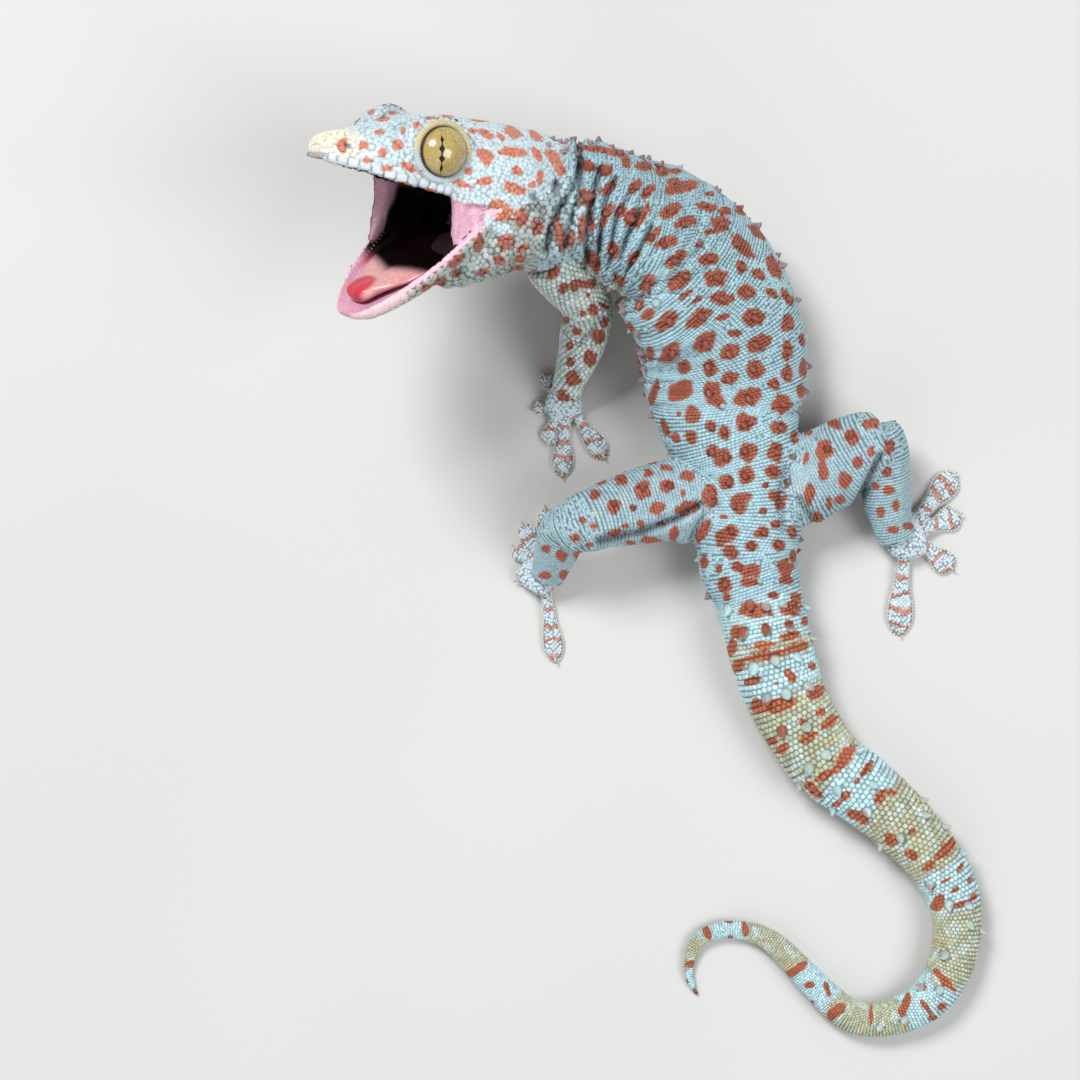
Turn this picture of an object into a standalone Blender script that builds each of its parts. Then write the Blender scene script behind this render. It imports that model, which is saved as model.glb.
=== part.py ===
"""Tokay gecko, life size, mouth open, as closed solids standing on z = 0 (metres, +Z up)."""
import math
import bmesh
import bpy
from mathutils import Matrix, Vector

MM = 0.001
GAP = 0.30
FLOOR = 0.0
FLOOR_SLAB = (320.0, 360.0, 40.0)


# The drawing's centre on the floor, its units in a mm there, and the height it is seen from
CENTRE_X, CENTRE_Y, CENTRE = -42.03, -22.18, 540.0
UNITS = 4.8
EYE_HEIGHT = 600.0


def at(px, py, z):
    """Place a point given in drawing units, at a height in mm, in mm."""
    k = (1.0 - z / EYE_HEIGHT) / UNITS
    return Vector(((px - CENTRE) * k + CENTRE_X, (CENTRE - py) * k + CENTRE_Y, z))


# Building meshes

def mesh_object(name, verts, faces):
    """Make one mesh object from points in mm."""
    mesh = bpy.data.meshes.new(name)
    mesh.from_pydata([(v[0] * MM, v[1] * MM, v[2] * MM) for v in verts], [], faces)
    mesh.validate()
    obj = bpy.data.objects.new(name, mesh)
    bpy.context.scene.collection.objects.link(obj)
    return obj


def loft(name, rings):
    """Skin a list of rings (equal counts, running the same way round) and close both ends."""
    n = len(rings[0])
    verts = [p for ring in rings for p in ring]
    faces = []
    for i in range(len(rings) - 1):
        for j in range(n):
            a, b = i * n + j, i * n + (j + 1) % n
            c, d = b + n, a + n
            if (i + j) % 2:
                faces += [(a, b, c), (a, c, d)]
            else:
                faces += [(a, b, d), (b, c, d)]
    for end, base in ((0, 0), (1, (len(rings) - 1) * n)):
        ring = rings[-1] if end else rings[0]
        verts.append(sum((Vector(p) for p in ring), Vector()) / n)
        hub = len(verts) - 1
        for j in range(n):
            a, b = base + j, base + (j + 1) % n
            faces.append((hub, a, b) if end else (hub, b, a))
    obj = mesh_object(name, verts, faces)
    face_out(obj)
    return obj


def face_out(obj):
    """Turn the faces of a closed mesh outwards."""
    bm = bmesh.new()
    bm.from_mesh(obj.data)
    bmesh.ops.recalc_face_normals(bm, faces=bm.faces)
    if bm.calc_volume(signed=True) < 0.0:
        bmesh.ops.reverse_faces(bm, faces=bm.faces)
    bm.to_mesh(obj.data)
    bm.free()


def swell(obj, grow):
    """Move every point out along its normal, for a cutter that leaves a gap."""
    if grow:
        bm = bmesh.new()
        bm.from_mesh(obj.data)
        bm.normal_update()
        moved = [(v, v.co + v.normal * grow * MM * min(v.calc_shell_factor(), 1.6)) for v in bm.verts]
        for v, co in moved:
            v.co = co
        bm.to_mesh(obj.data)
        bm.free()
    return obj


def closed(bm):
    return len(bm.faces) > 3 and all(len(e.link_faces) == 2 for e in bm.edges)


def tidy(mesh, merge):
    """Merge near points, drop slivers and keep the largest surface, as a bmesh."""
    bm = bmesh.new()
    bm.from_mesh(mesh)
    bmesh.ops.remove_doubles(bm, verts=bm.verts, dist=merge)
    bmesh.ops.dissolve_degenerate(bm, dist=merge, edges=bm.edges)
    bmesh.ops.triangulate(bm, faces=bm.faces)
    left = set(bm.verts)
    groups = []
    while left:
        seed = left.pop()
        group, todo = {seed}, [seed]
        while todo:
            for edge in todo.pop().link_edges:
                for v in edge.verts:
                    if v in left:
                        left.discard(v)
                        group.add(v)
                        todo.append(v)
        groups.append(group)
    groups.sort(key=len, reverse=True)
    for group in groups[1:]:
        bmesh.ops.delete(bm, geom=list(group), context="VERTS")
    return bm


def bake(obj):
    """Apply every modifier of an object and keep only its largest closed surface."""
    graph = bpy.context.evaluated_depsgraph_get()
    done = bpy.data.meshes.new_from_object(obj.evaluated_get(graph))
    obj.modifiers.clear()
    for merge in (3e-6, 2e-6, 1e-6, 5e-6, 1e-5, 2e-5, 3e-7):
        bm = tidy(done, merge)
        if closed(bm):
            break
        bm.free()
        bm = None
    if bm is None:
        bm = tidy(done, 2e-6)
    bm.to_mesh(done)
    bm.free()
    old = obj.data
    obj.data = done
    bpy.data.meshes.remove(old)
    face_out(obj)
    return obj


def soundness(obj):
    """Volume of a mesh in mm3, or 0 when it isn't one closed surface."""
    bm = bmesh.new()
    bm.from_mesh(obj.data)
    closed = len(bm.faces) > 3 and all(len(e.link_faces) == 2 for e in bm.edges)
    volume = bm.calc_volume(signed=True) * 1e9 if closed else 0.0
    bm.free()
    return volume


def boolean(obj, other, operation):
    """Union or cut an object with one closed piece, which is used up."""
    before, start = obj.data.copy(), soundness(obj)
    other.hide_render = True
    for solver, crossing in (("EXACT", False), ("MANIFOLD", False), ("EXACT", True)):
        mod = obj.modifiers.new("join", "BOOLEAN")
        mod.operation = operation
        mod.object = other
        mod.solver = solver
        if solver == "EXACT":
            mod.use_self = crossing
        bake(obj)
        volume = soundness(obj)
        grew = volume - start
        if volume > 0.05 * start and (grew >= -0.01 if operation == "UNION" else grew <= 0.01):
            break
        print("   ", obj.name, other.name, solver, "gave", round(volume, 2), "from", round(start, 2))
        obj.data = before.copy()
    mesh = other.data
    bpy.data.objects.remove(other)
    bpy.data.meshes.remove(mesh)
    return obj


def union(obj, others):
    """Join the pieces on, one after the other."""
    for other in others:
        boolean(obj, other, "UNION")
    return obj


def cut(obj, others):
    """Take the pieces away one after the other."""
    for other in others:
        boolean(obj, other, "DIFFERENCE")
    return obj


def primitive(name, make, matrix, **sizes):
    """One of Blender's bmesh primitives as an object, placed by a matrix in mm."""
    bm = bmesh.new()
    make(bm, matrix=Matrix.Scale(MM, 4) @ matrix, **sizes)
    mesh = bpy.data.meshes.new(name)
    bm.to_mesh(mesh)
    bm.free()
    obj = bpy.data.objects.new(name, mesh)
    bpy.context.scene.collection.objects.link(obj)
    face_out(obj)
    return obj


def placed(place, basis, scale=(1.0, 1.0, 1.0)):
    """Matrix that scales, turns to a basis and moves to a place."""
    return Matrix.Translation(place) @ basis.to_4x4() @ Matrix.Diagonal((*scale, 1.0))


def floor_tool():
    """A slab whose top is the floor plane."""
    place = Vector((-20.0, -30.0, FLOOR - FLOOR_SLAB[2] / 2))
    return primitive("floor_tool", bmesh.ops.create_cube,
                     placed(place, Matrix.Identity(3), FLOOR_SLAB), size=1.0)


def ball(name, place, radii, basis, n, m):
    """An ellipsoid with its poles along the third axis of the basis."""
    return primitive(name, bmesh.ops.create_uvsphere, placed(place, basis, radii),
                     u_segments=n, v_segments=m, radius=1.0)


def hoop(name, place, basis, radius_x, radius_y, tube, n, m):
    """A ring-shaped ridge lying in the first two axes of the basis."""
    bpy.ops.mesh.primitive_torus_add(major_segments=n, minor_segments=m,
                                     major_radius=radius_x, minor_radius=tube)
    obj = bpy.context.object
    obj.name = name
    stretch = (1.0, radius_y / radius_x, 1.0)
    obj.data.transform(Matrix.Scale(MM, 4) @ placed(place, basis, stretch))
    face_out(obj)
    return obj


def spline(points, t):
    """Catmull-Rom value of a list of equal-length tuples at a real index."""
    last = len(points) - 1
    t = min(max(t, 0.0), last)
    i = min(int(t), last - 1)
    f = t - i
    p1, p2 = points[i], points[i + 1]
    p0 = points[i - 1] if i else tuple(2 * a - b for a, b in zip(p1, p2))
    p3 = points[i + 2] if i + 2 <= last else tuple(2 * b - a for a, b in zip(p1, p2))
    return [0.5 * (2 * b + (c - a) * f + (2 * a - 5 * b + 4 * c - d) * f * f
                   + (3 * b - a - 3 * c + d) * f ** 3) for a, b, c, d in zip(p0, p1, p2, p3)]


# The spine: drawing x, y, height, roll in degrees (left side up), half width, half depth

SPINE = [
    (555, 193, 36.0, 76, 12.6, 12.6), (597, 205, 34.0, 68, 14.0, 12.0),
    (626, 222, 31.0, 58, 16.0, 12.4), (658, 238, 27.6, 47, 18.0, 12.2),
    (686, 270, 24.0, 38, 19.5, 12.0), (710, 305, 19.4, 31, 19.0, 12.0),
    (723, 343, 15.6, 24, 18.0, 11.6), (730, 381, 12.4, 18, 16.7, 11.2),
    (731, 419, 10.8, 12, 15.3, 10.8), (745, 465, 9.6, 8, 11.8, 9.8),
    (750, 512, 9.0, 4, 11.0, 9.3), (747, 556, 8.3, 8, 10.5, 8.6),
    (760, 602, 7.7, 8, 9.1, 8.0), (771, 650, 7.5, 5, 8.9, 7.8),
    (783, 690, 7.0, 2, 8.4, 7.3), (802, 727, 6.7, 0, 8.0, 7.0),
    (826, 762, 6.5, 0, 7.8, 6.8), (857, 785, 6.3, 0, 7.5, 6.6),
    (893, 815, 5.8, 0, 6.9, 6.1), (929, 853, 5.2, 0, 6.2, 5.5),
    (951, 890, 4.7, 0, 5.7, 5.0), (957, 925, 4.3, 0, 5.2, 4.6),
    (950, 966, 4.0, 0, 4.9, 4.3), (928, 1000, 3.6, 0, 4.4, 3.9),
    (888, 1018, 3.1, 0, 3.9, 3.4), (850, 1015, 2.9, 0, 3.6, 3.2),
    (817, 987, 2.5, 0, 3.2, 2.8), (776, 945, 2.0, 0, 2.6, 2.3),
    (749, 932, 1.7, 0, 2.2, 2.0), (721, 930, 1.5, 0, 2.0, 1.8),
    (699, 940, 1.25, 0, 1.75, 1.55), (689, 962, 0.95, 0, 1.35, 1.25),
    (690, 980, 0.75, 0, 1.05, 1.0), (698, 996, 0.5, 0, 0.6, 0.6),
]
REST_FROM = 8


def station(i, row):
    """A station in mm, sunk so that the body rests on a small flat from the belly back."""
    px, py, z, roll, a, b = row
    if i >= REST_FROM:
        r = math.radians(roll)
        z = math.hypot(a * math.sin(r), b * math.cos(r)) * 0.955 - 0.08
    return tuple(at(px, py, z)) + (roll, a, b)


STATIONS = [station(i, row) for i, row in enumerate(SPINE)]


def spine_frame(t):
    """Centre, forward, left, up, half width and half depth of the body at a real index."""
    row = spline(STATIONS, t)
    a, b = spline(STATIONS, t - 0.05)[:3], spline(STATIONS, t + 0.05)[:3]
    forward = (Vector(a) - Vector(b)).normalized()
    left = Vector((0, 0, 1)).cross(forward).normalized()
    up = forward.cross(left).normalized()
    roll = math.radians(row[3])
    return (Vector(row[:3]), forward, left * math.cos(roll) + up * math.sin(roll),
            up * math.cos(roll) - left * math.sin(roll), row[4], row[5])


def body_ring(t, n, grow):
    """One cross-section of the body, a little flatter below."""
    centre, _, left, up, a, b = spine_frame(t)
    a, b = a + grow, b + grow
    ring = []
    for j in range(n):
        w = 2 * math.pi * j / n
        c, s = math.cos(w), math.sin(w)
        flat = 1.0 - 0.05 * max(0.0, -s) ** 3
        ring.append(centre + left * a * c + up * b * s * flat)
    return ring


def body_length(t):
    """Length of one index step near t, in mm."""
    a, b = spline(STATIONS, t - 0.1)[:3], spline(STATIONS, t + 0.1)[:3]
    return (Vector(a) - Vector(b)).length / 0.2


def body_part(name, t0, t1, n, step, grow=0.0):
    """A slice of the body between two indices, with flat ends half a gap inside them."""
    trim = GAP / 2 - grow
    lo = t0 + trim / body_length(t0)
    hi = t1 - trim / body_length(t1)
    length = sum(body_length(lo + (hi - lo) * (i + 0.5) / 20) * (hi - lo) / 20 for i in range(20))
    count = max(2, round(length / step))
    rings = [body_ring(lo + (hi - lo) * i / count, n, grow) for i in range(count + 1)]
    return loft(name, rings)


# Spiny tubercles: pitch along the body and across it, base radius, height, how far they lean back
SPIKE_ROWS = {"chest": (7.2, 6.9, 1.25, 1.5), "belly": (7.2, 6.9, 1.25, 1.5),
              "neck": (7.2, 6.9, 1.2, 1.4), "pelvis": (6.8, 6.0, 1.1, 1.4),
              "tail_1": (7.4, 5.0, 1.1, 1.5), "tail_2": (7.6, 5.0, 1.05, 1.5),
              "tail_3": (7.8, 4.8, 0.95, 1.3), "tail_4": (8.0, 4.6, 0.8, 1.1)}
LEAN = 0.35


def spike(place, out, forward, radius, height):
    """A five-sided cone standing out of the skin and leaning back."""
    axis = (out - forward * LEAN).normalized()
    side = forward.cross(axis).normalized()
    basis = Matrix((axis.cross(side), side, axis)).transposed()
    sink = 0.5
    middle = place + axis * (height - sink) / 2
    return primitive("spike", bmesh.ops.create_cone, placed(middle, basis), cap_ends=True,
                     segments=5, radius1=radius, radius2=radius * 0.18, depth=height + sink)


def add_spikes(obj, name, keep_out):
    """Rows of spikes over the back of a body part, clear of its ends and of the legs."""
    pitch, across, radius, height = SPIKE_ROWS[name]
    t0, t1 = CUTS[name]
    length = sum(body_length(t0 + (t1 - t0) * (i + 0.5) / 10) * (t1 - t0) / 10 for i in range(10))
    rows = max(1, round(length / pitch))
    spikes = []
    for i in range(rows):
        t = t0 + (t1 - t0) * (i + 0.5) / rows
        centre, forward, left, up, a, b = spine_frame(t)
        count = int(math.pi * 0.5 * (a + b) * 0.84 / across)
        for k in range(count):
            angle = math.radians(90) + (k - (count - 1) / 2 + 0.5 * (i % 2) - 0.25) * across / (0.5 * (a + b))
            c, s = math.cos(angle), math.sin(angle)
            place = centre + left * a * c + up * b * s
            out = (left * c / a + up * s / b).normalized()
            if place.z < 2.5 or any((place - spot).length < reach for spot, reach in keep_out):
                continue
            spikes.append(spike(place, out, forward, radius, height))
    return union(obj, spikes)


# Where the body is divided
CUTS = {"neck": (0.28, 2.55), "chest": (2.55, 5.2), "belly": (5.2, 9.0), "pelvis": (9.0, 11.9),
        "tail_1": (11.9, 14.6), "tail_2": (14.6, 17.3), "tail_3": (17.3, 20.0),
        "tail_4": (20.0, 23.2), "tail_5": (23.2, 26.6), "tail_6": (26.6, 33.0)}


# The head has its own frame: x forward from the snout tip, y left, z up

SNOUT = at(316, 148, 62.0)
YAW, PITCH, TURN = math.radians(35), math.radians(8.5), math.radians(9)


def head_basis():
    """Columns forward, left and up of the head."""
    forward = Vector((-math.cos(YAW) * math.cos(PITCH), math.cos(YAW) * math.sin(PITCH),
                      math.sin(YAW)))
    up0 = Vector((math.sin(PITCH), math.cos(PITCH), 0))
    left0 = up0.cross(forward)
    up = up0 * math.cos(TURN) + left0 * math.sin(TURN)
    left = left0 * math.cos(TURN) - up0 * math.sin(TURN)
    return Matrix((forward, left, up)).transposed()


HEAD = head_basis()


def head_at(x, y, z):
    return SNOUT + HEAD @ Vector((x, y, z))


# Distance behind the snout tip: half width, top, lip
HEAD_ROWS = [
    (0.0, 2.2, 1.2, -1.0), (0.7, 3.6, 2.1, -1.5), (2.0, 4.9, 3.0, -1.7), (4.0, 6.3, 4.0, -1.8),
    (6.5, 7.8, 5.1, -1.9), (9.5, 9.3, 6.4, -2.2), (12.5, 10.3, 7.8, -2.5), (15.5, 11.1, 9.1, -2.6),
    (18.5, 11.8, 10.1, -2.6), (20.3, 12.2, 10.6, -2.7), (21.5, 12.5, 10.9, -2.8),
    (22.7, 12.8, 11.2, -2.8), (24.0, 13.1, 11.4, -2.8), (24.7, 13.4, 11.5, -4.2), (25.6, 13.8, 11.7, -8.2), (26.6, 14.2, 11.9, -10.6),
    (27.8, 14.6, 12.0, -9.0), (29.5, 15.1, 12.1, -6.8), (31.5, 15.6, 12.2, -5.6),
    (34.0, 16.0, 12.5, -7.6), (37.5, 16.3, 12.8, -8.6), (40.5, 16.0, 13.0, -9.2),
    (43.5, 15.1, 13.1, -9.7), (46.5, 14.3, 13.0, -9.9), (49.5, 13.6, 12.8, -9.9),
    (53.0, 12.9, 12.4, -9.6),
]


# The lip of the right side where its cheek wall starts further forward, by distance behind the tip
FAR_LIPS = {20.3: -2.9, 21.5: -6.5, 22.7: -15.6, 24.0: -14.5, 24.7: -13.5, 25.6: -12.2, 26.6: -10.9,
            27.8: -9.5, 29.5: -7.4}


def half_ring(u, w, top, lip):
    """Half of a section of the upper head: crown, cheek, lip ledge, wall and mouth roof."""
    roof = -2.0 + 3.0 * min(1.0, u / 12.0)
    back = min(1.0, max(0.0, (u - 31.0) / 6.0))
    half = []
    for k in range(8):
        a = math.radians(90 - 12.5 * k)
        half.append((w * math.cos(a) ** 0.92, top * math.sin(max(a, 0.0)) if a > 0 else 0.0))
    ledge = min(1.0, w / 5.0)
    low = lip
    half[-1] = (w - 0.15 * ledge, min(0.9, low + 2.0 * ledge) if low > -3.0 else 0.3)
    half.append((w - 0.45 * ledge, low + 1.9 * ledge))
    half.append((w + 0.15 * ledge, low + 1.3 * ledge))
    half.append((w + 0.05 * ledge, low + 0.3 * ledge))
    half.append((w - 0.6 * ledge, low))
    half.append((w - 1.5 * ledge, low + 0.25 * ledge))
    inner = max(roof, low + 0.5)
    inner = inner * (1 - back) + (low - 1.0) * back
    half.append((min(w * 0.72, w - 2.0 * ledge), low + 0.6 * ledge + (inner - low - 0.6 * ledge) * 0.8))
    half.append((w * 0.36, inner + 0.25 * (1 - back) - 0.35 * back))
    half.append((0.0, inner + 0.4 * (1 - back) - 0.6 * back))
    return half


def head_ring(u, w, top, lip):
    """One whole section of the upper head."""
    near, far = half_ring(u, w, top, lip), half_ring(u, w, top, FAR_LIPS.get(u, lip))
    ring = near + [(-y, z) for y, z in reversed(far[1:-1])]
    return [head_at(-u, y, z) for y, z in ring]


def head_solid(name, grow=0.0):
    """The upper head from the snout tip to the fold behind the ear."""
    return swell(loft(name, [head_ring(*row) for row in HEAD_ROWS]), grow)


EYE = 5.3


def eye_place(side):
    return head_at(-21.2, side * 9.7, 4.6)


def eye_basis(side):
    """Frame whose third axis looks out of the eye."""
    out = (HEAD @ Vector((0.10, side, 0.12))).normalized()
    fore = (HEAD @ Vector((1, 0, 0)))
    fore = (fore - out * fore.dot(out)).normalized()
    return Matrix((fore, out.cross(fore), out)).transposed()


def make_head():
    """Head with brows, eye rims, sockets, nostrils and ear cups."""
    head = head_solid("head")
    adds = []
    for side in (1, -1):
        adds.append(ball("brow", head_at(-20.6, side * 7.9, 4.4), (7.6, 4.8, 6.2), HEAD, 14, 8))
        adds.append(hoop("rim", eye_place(side) + eye_basis(side).col[2] * 1.9, eye_basis(side),
                         5.05, 5.35, 1.05, 16, 5))
        adds.append(ball("nose", head_at(-3.6, side * 3.6, 1.6), (2.4, 1.7, 1.7), HEAD, 8, 5))
    union(head, adds)
    tools = []
    for side in (1, -1):
        tools.append(ball("socket", eye_place(side), (EYE + GAP,) * 3, eye_basis(side), 16, 8))
        tools.append(ball("nostril", head_at(-3.4, side * 5.3, 1.9), (0.75, 1.0, 0.65), HEAD, 8, 6))
        tools.append(ball("ear", head_at(-45.6, side * 14.6, 2.8), (1.6, 2.2, 2.8), HEAD, 10, 6))
    tools.append(ball("gullet", head_at(-31.0, 0, -4.0), (7.5, 9.5, 4.4), HEAD, 16, 8))
    cut(head, tools)
    return head


# The lower jaw turns about a joint below and behind the eye

JOINT = (-32.5, -3.0)
OPEN = math.radians(55.5)


def jaw_at(v, y, z):
    """A point given along the jaw from the joint, to the left, and up from its rim."""
    x = JOINT[0] + v * math.cos(OPEN) + z * math.sin(OPEN)
    return head_at(x, y, JOINT[1] - v * math.sin(OPEN) + z * math.cos(OPEN))


# Along the jaw: half width, depth at the middle, dish depth
JAW_ROWS = [(31.5, 2.6, 1.5, 0.0), (30.7, 4.4, 2.4, 0.3), (29.2, 6.4, 3.2, 0.9),
            (26.7, 8.8, 3.9, 1.6), (23.4, 11.0, 4.7, 2.2), (19.0, 12.9, 5.4, 2.6),
            (14.8, 14.1, 6.2, 2.8), (10.5, 14.8, 7.0, 2.8), (6.2, 15.2, 7.8, 2.4),
            (2.4, 15.4, 8.6, 1.6), (-1.0, 15.0, 9.2, 0.5)]


def jaw_ring(v, w, depth, dish):
    """One section of the jaw: rim, lip ledge, rounded underside and the dish for the tongue."""
    half = [(0.0, -dish), (w * 0.45, -dish * 0.95), (w - 1.9 * min(1, w / 4), -dish * 0.6),
            (w - 1.2 * min(1, w / 4), -0.1), (w - 0.5, 0.05), (w, -0.5), (w + 0.1, -1.4),
            (w - 0.3, -min(2.0, depth * 0.6))]
    for k in range(1, 6):
        a = math.radians(18 * k)
        start = min(2.0, depth * 0.6)
        half.append(((w - 0.3) * math.cos(a) ** 0.85 if k < 5 else 0.0,
                     -start - (depth - start) * math.sin(a)))
    ring = half + [(-y, z) for y, z in reversed(half[1:-1])]
    return [jaw_at(v, y, z) for y, z in ring]


def jaw_solid(name, grow=0.0):
    return swell(loft(name, [jaw_ring(*row) for row in JAW_ROWS]), grow)


def make_tongue():
    """Thick tongue lying in the jaw with its tip raised."""
    rows = [(28.0, 1.0, 0.6, 1.5), (27.4, 2.2, 1.2, 1.5), (26.0, 3.1, 1.8, 1.3), (24.0, 3.5, 2.0, 1.0),
            (21.6, 3.7, 1.9, 0.6), (18.5, 4.9, 1.9, 0.2), (15.0, 6.2, 2.0, 0.1), (11.5, 7.0, 2.1, 0.1),
            (8.0, 7.3, 2.1, 0.2), (5.0, 7.0, 1.9, 0.4)]
    rings = []
    for v, w, h, z in rows:
        ring = []
        for j in range(14):
            a = 2 * math.pi * j / 14
            ring.append(jaw_at(v, w * math.cos(a), z + h * math.sin(a)))
        rings.append(ring)
    return loft("tongue", rings)


# The throat swells between the jaw, the head and the neck
THROAT = [((432, 272, 48), 5.0, 3.4), ((446, 263, 47), 8.0, 5.2), ((466, 250, 45), 10.6, 6.4),
          ((490, 236, 43), 12.2, 7.4), ((515, 225, 41), 12.9, 9.4), ((540, 217, 39), 12.9, 9.6),
          ((566, 212, 37), 12.2, 9.2)]


def throat_solid(name, grow=0.0):
    """Rings down the throat, wide across the head and deep below it."""
    pts = [tuple(at(*p)) + (a, b) for p, a, b in THROAT]
    rings = []
    for i in range(9):
        t = i * (len(pts) - 1) / 8
        row = spline(pts, t)
        before = Vector(spline(pts, t - 0.1)[:3])
        after = Vector(spline(pts, t + 0.1)[:3])
        along = (before - after).normalized()
        left = (HEAD @ Vector((0, 1, 0)))
        left = (left - along * left.dot(along)).normalized()
        up = along.cross(left)
        rings.append([Vector(row[:3]) + left * (row[3] + grow) * math.cos(2 * math.pi * j / 14)
                      + up * (row[4] + grow) * math.sin(2 * math.pi * j / 14) for j in range(14)])
    return loft(name, rings)


# Legs: drawing x, y, height, half width level with the floor, half width across

def tube_rings(points, n, steps):
    """Elliptical rings along a smooth path with level sides."""
    rows = [tuple(at(*p[:3])) + tuple(p[3:]) for p in points]
    last = len(rows) - 1
    rings = []
    for i in range(steps + 1):
        t = last * i / steps
        row = spline(rows, t)
        a, b = Vector(spline(rows, t - 0.05)[:3]), Vector(spline(rows, t + 0.05)[:3])
        if t < 0.05:
            a = Vector(spline(rows, 0)[:3])
        if t > last - 0.05:
            b = Vector(spline(rows, last)[:3])
        along = (b - a).normalized()
        side = along.cross(Vector((0, 0, 1)))
        side = side.normalized() if side.length > 0.2 else Vector((1, 0, 0))
        rise = side.cross(along).normalized()
        centre = Vector(row[:3])
        rings.append([centre + side * row[3] * math.cos(2 * math.pi * j / n)
                      + rise * row[4] * math.sin(2 * math.pi * j / n) for j in range(n)])
    return rings


def limb(name, points, n=14, steps=8, grow=0.0):
    return swell(loft(name, tube_rings(points, n, steps)), grow)


LIMBS = {
    "arm_left_upper": [(548, 256, 35, 5.6, 5.6), (560, 272, 32, 5.6, 5.6), (573, 287, 28.5, 5.3, 5.5),
                       (585, 301, 24.5, 5.1, 5.3), (588, 316, 20.5, 5.0, 5.0),
                       (585, 330, 17.5, 4.2, 4.2)],
    "arm_left_lower": [(590, 306, 21.8, 4.4, 4.4), (587, 322, 18.6, 4.9, 4.8),
                       (583, 340, 15.0, 4.8, 4.5), (577, 360, 11.0, 4.1, 3.8),
                       (570, 378, 7.6, 3.3, 3.0), (566, 393, 5.0, 3.1, 2.4)],
    "arm_right_upper": [(628, 196, 21, 5.4, 5.4), (646, 192, 18, 5.3, 5.3), (666, 194, 14, 5.0, 5.0),
                        (684, 204, 10, 4.6, 4.6), (690, 214, 7.6, 4.2, 4.2)],
    "arm_right_lower": [(694, 206, 9.0, 4.0, 4.0), (690, 220, 7.4, 4.4, 4.2), (680, 236, 5.8, 4.2, 3.8),
                        (668, 250, 4.4, 3.5, 3.0), (658, 260, 3.5, 3.2, 2.4)],
    "leg_left_upper": [(716, 500, 9.0, 9.6, 7.0), (690, 499, 10.0, 9.3, 7.2), (660, 502, 12.0, 8.4, 7.2),
                       (630, 508, 14.5, 7.5, 7.0), (602, 516, 16.8, 6.6, 6.4),
                       (580, 524, 17.6, 6.0, 5.8), (565, 532, 15.6, 5.0, 5.0)],
    "leg_left_lower": [(583, 520, 17.0, 4.6, 4.6), (568, 527, 15.4, 5.2, 5.0),
                       (560, 539, 12.6, 5.0, 4.8), (556, 552, 9.6, 4.6, 4.2),
                       (551, 566, 6.6, 4.0, 3.5), (547, 578, 4.4, 3.4, 2.8)],
    "leg_right_upper": [(778, 484, 9.0, 9.6, 7.0), (806, 478, 9.6, 9.4, 7.2), (830, 466, 10.8, 8.6, 7.2),
                        (852, 452, 12.4, 7.8, 6.8), (870, 442, 13.4, 6.8, 6.2),
                        (882, 436, 13.2, 5.2, 5.4)],
    "leg_right_lower": [(876, 430, 13.0, 4.6, 4.8), (882, 446, 12.2, 5.3, 5.2),
                        (884, 468, 10.4, 5.4, 5.0), (886, 494, 8.0, 5.2, 4.6),
                        (891, 520, 5.6, 4.4, 3.8), (896, 540, 4.0, 3.7, 2.9)],
}

FEET = {
    "hand_left": [(568, 388, 4.2, 3.1, 2.3), (565, 398, 3.0, 3.8, 2.3), (564, 408, 2.2, 4.2, 2.1),
                  (564, 415, 1.7, 3.4, 1.7)],
    "hand_right": [(661, 257, 3.1, 3.0, 2.2), (652, 262, 2.6, 3.7, 2.2), (643, 267, 2.05, 4.1, 2.0),
                   (636, 268, 1.7, 3.4, 1.7)],
    "foot_left": [(553, 582, 3.6, 3.4, 2.5), (545, 577, 2.9, 4.2, 2.5), (537, 568, 2.3, 4.8, 2.2),
                  (532, 560, 1.7, 3.8, 1.7)],
    "foot_right": [(893, 534, 3.6, 3.7, 2.7), (903, 537, 2.8, 4.8, 2.5), (913, 533, 2.2, 5.2, 2.2),
                   (919, 530, 1.7, 4.2, 1.7)],
}

# Toes: root, tip, half width of the pad
TOES = {
    "hand_left": [((556, 401), (531, 410), 1.5), ((557, 397), (541, 370), 1.7),
                  ((558, 411), (546, 447), 1.9), ((565, 414), (562, 479), 2.15),
                  ((572, 408), (606, 460), 2.15)],
    "hand_right": [((648, 257), (640, 216), 1.6), ((641, 260), (606, 228), 1.8),
                   ((636, 268), (596, 262), 1.9), ((640, 275), (622, 300), 1.9),
                   ((650, 272), (676, 306), 1.8)],
    "foot_left": [((548, 568), (545, 505), 1.8), ((540, 563), (522, 522), 1.9),
                  ((535, 565), (512, 545), 1.9), ((535, 572), (514, 582), 1.9),
                  ((545, 586), (556, 664), 2.0)],
    "foot_right": [((904, 524), (899, 478), 1.8), ((915, 521), (957, 472), 2.6),
                   ((922, 530), (963, 513), 2.5), ((918, 541), (955, 571), 2.5),
                   ((904, 546), (899, 637), 2.6)],
}


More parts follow.
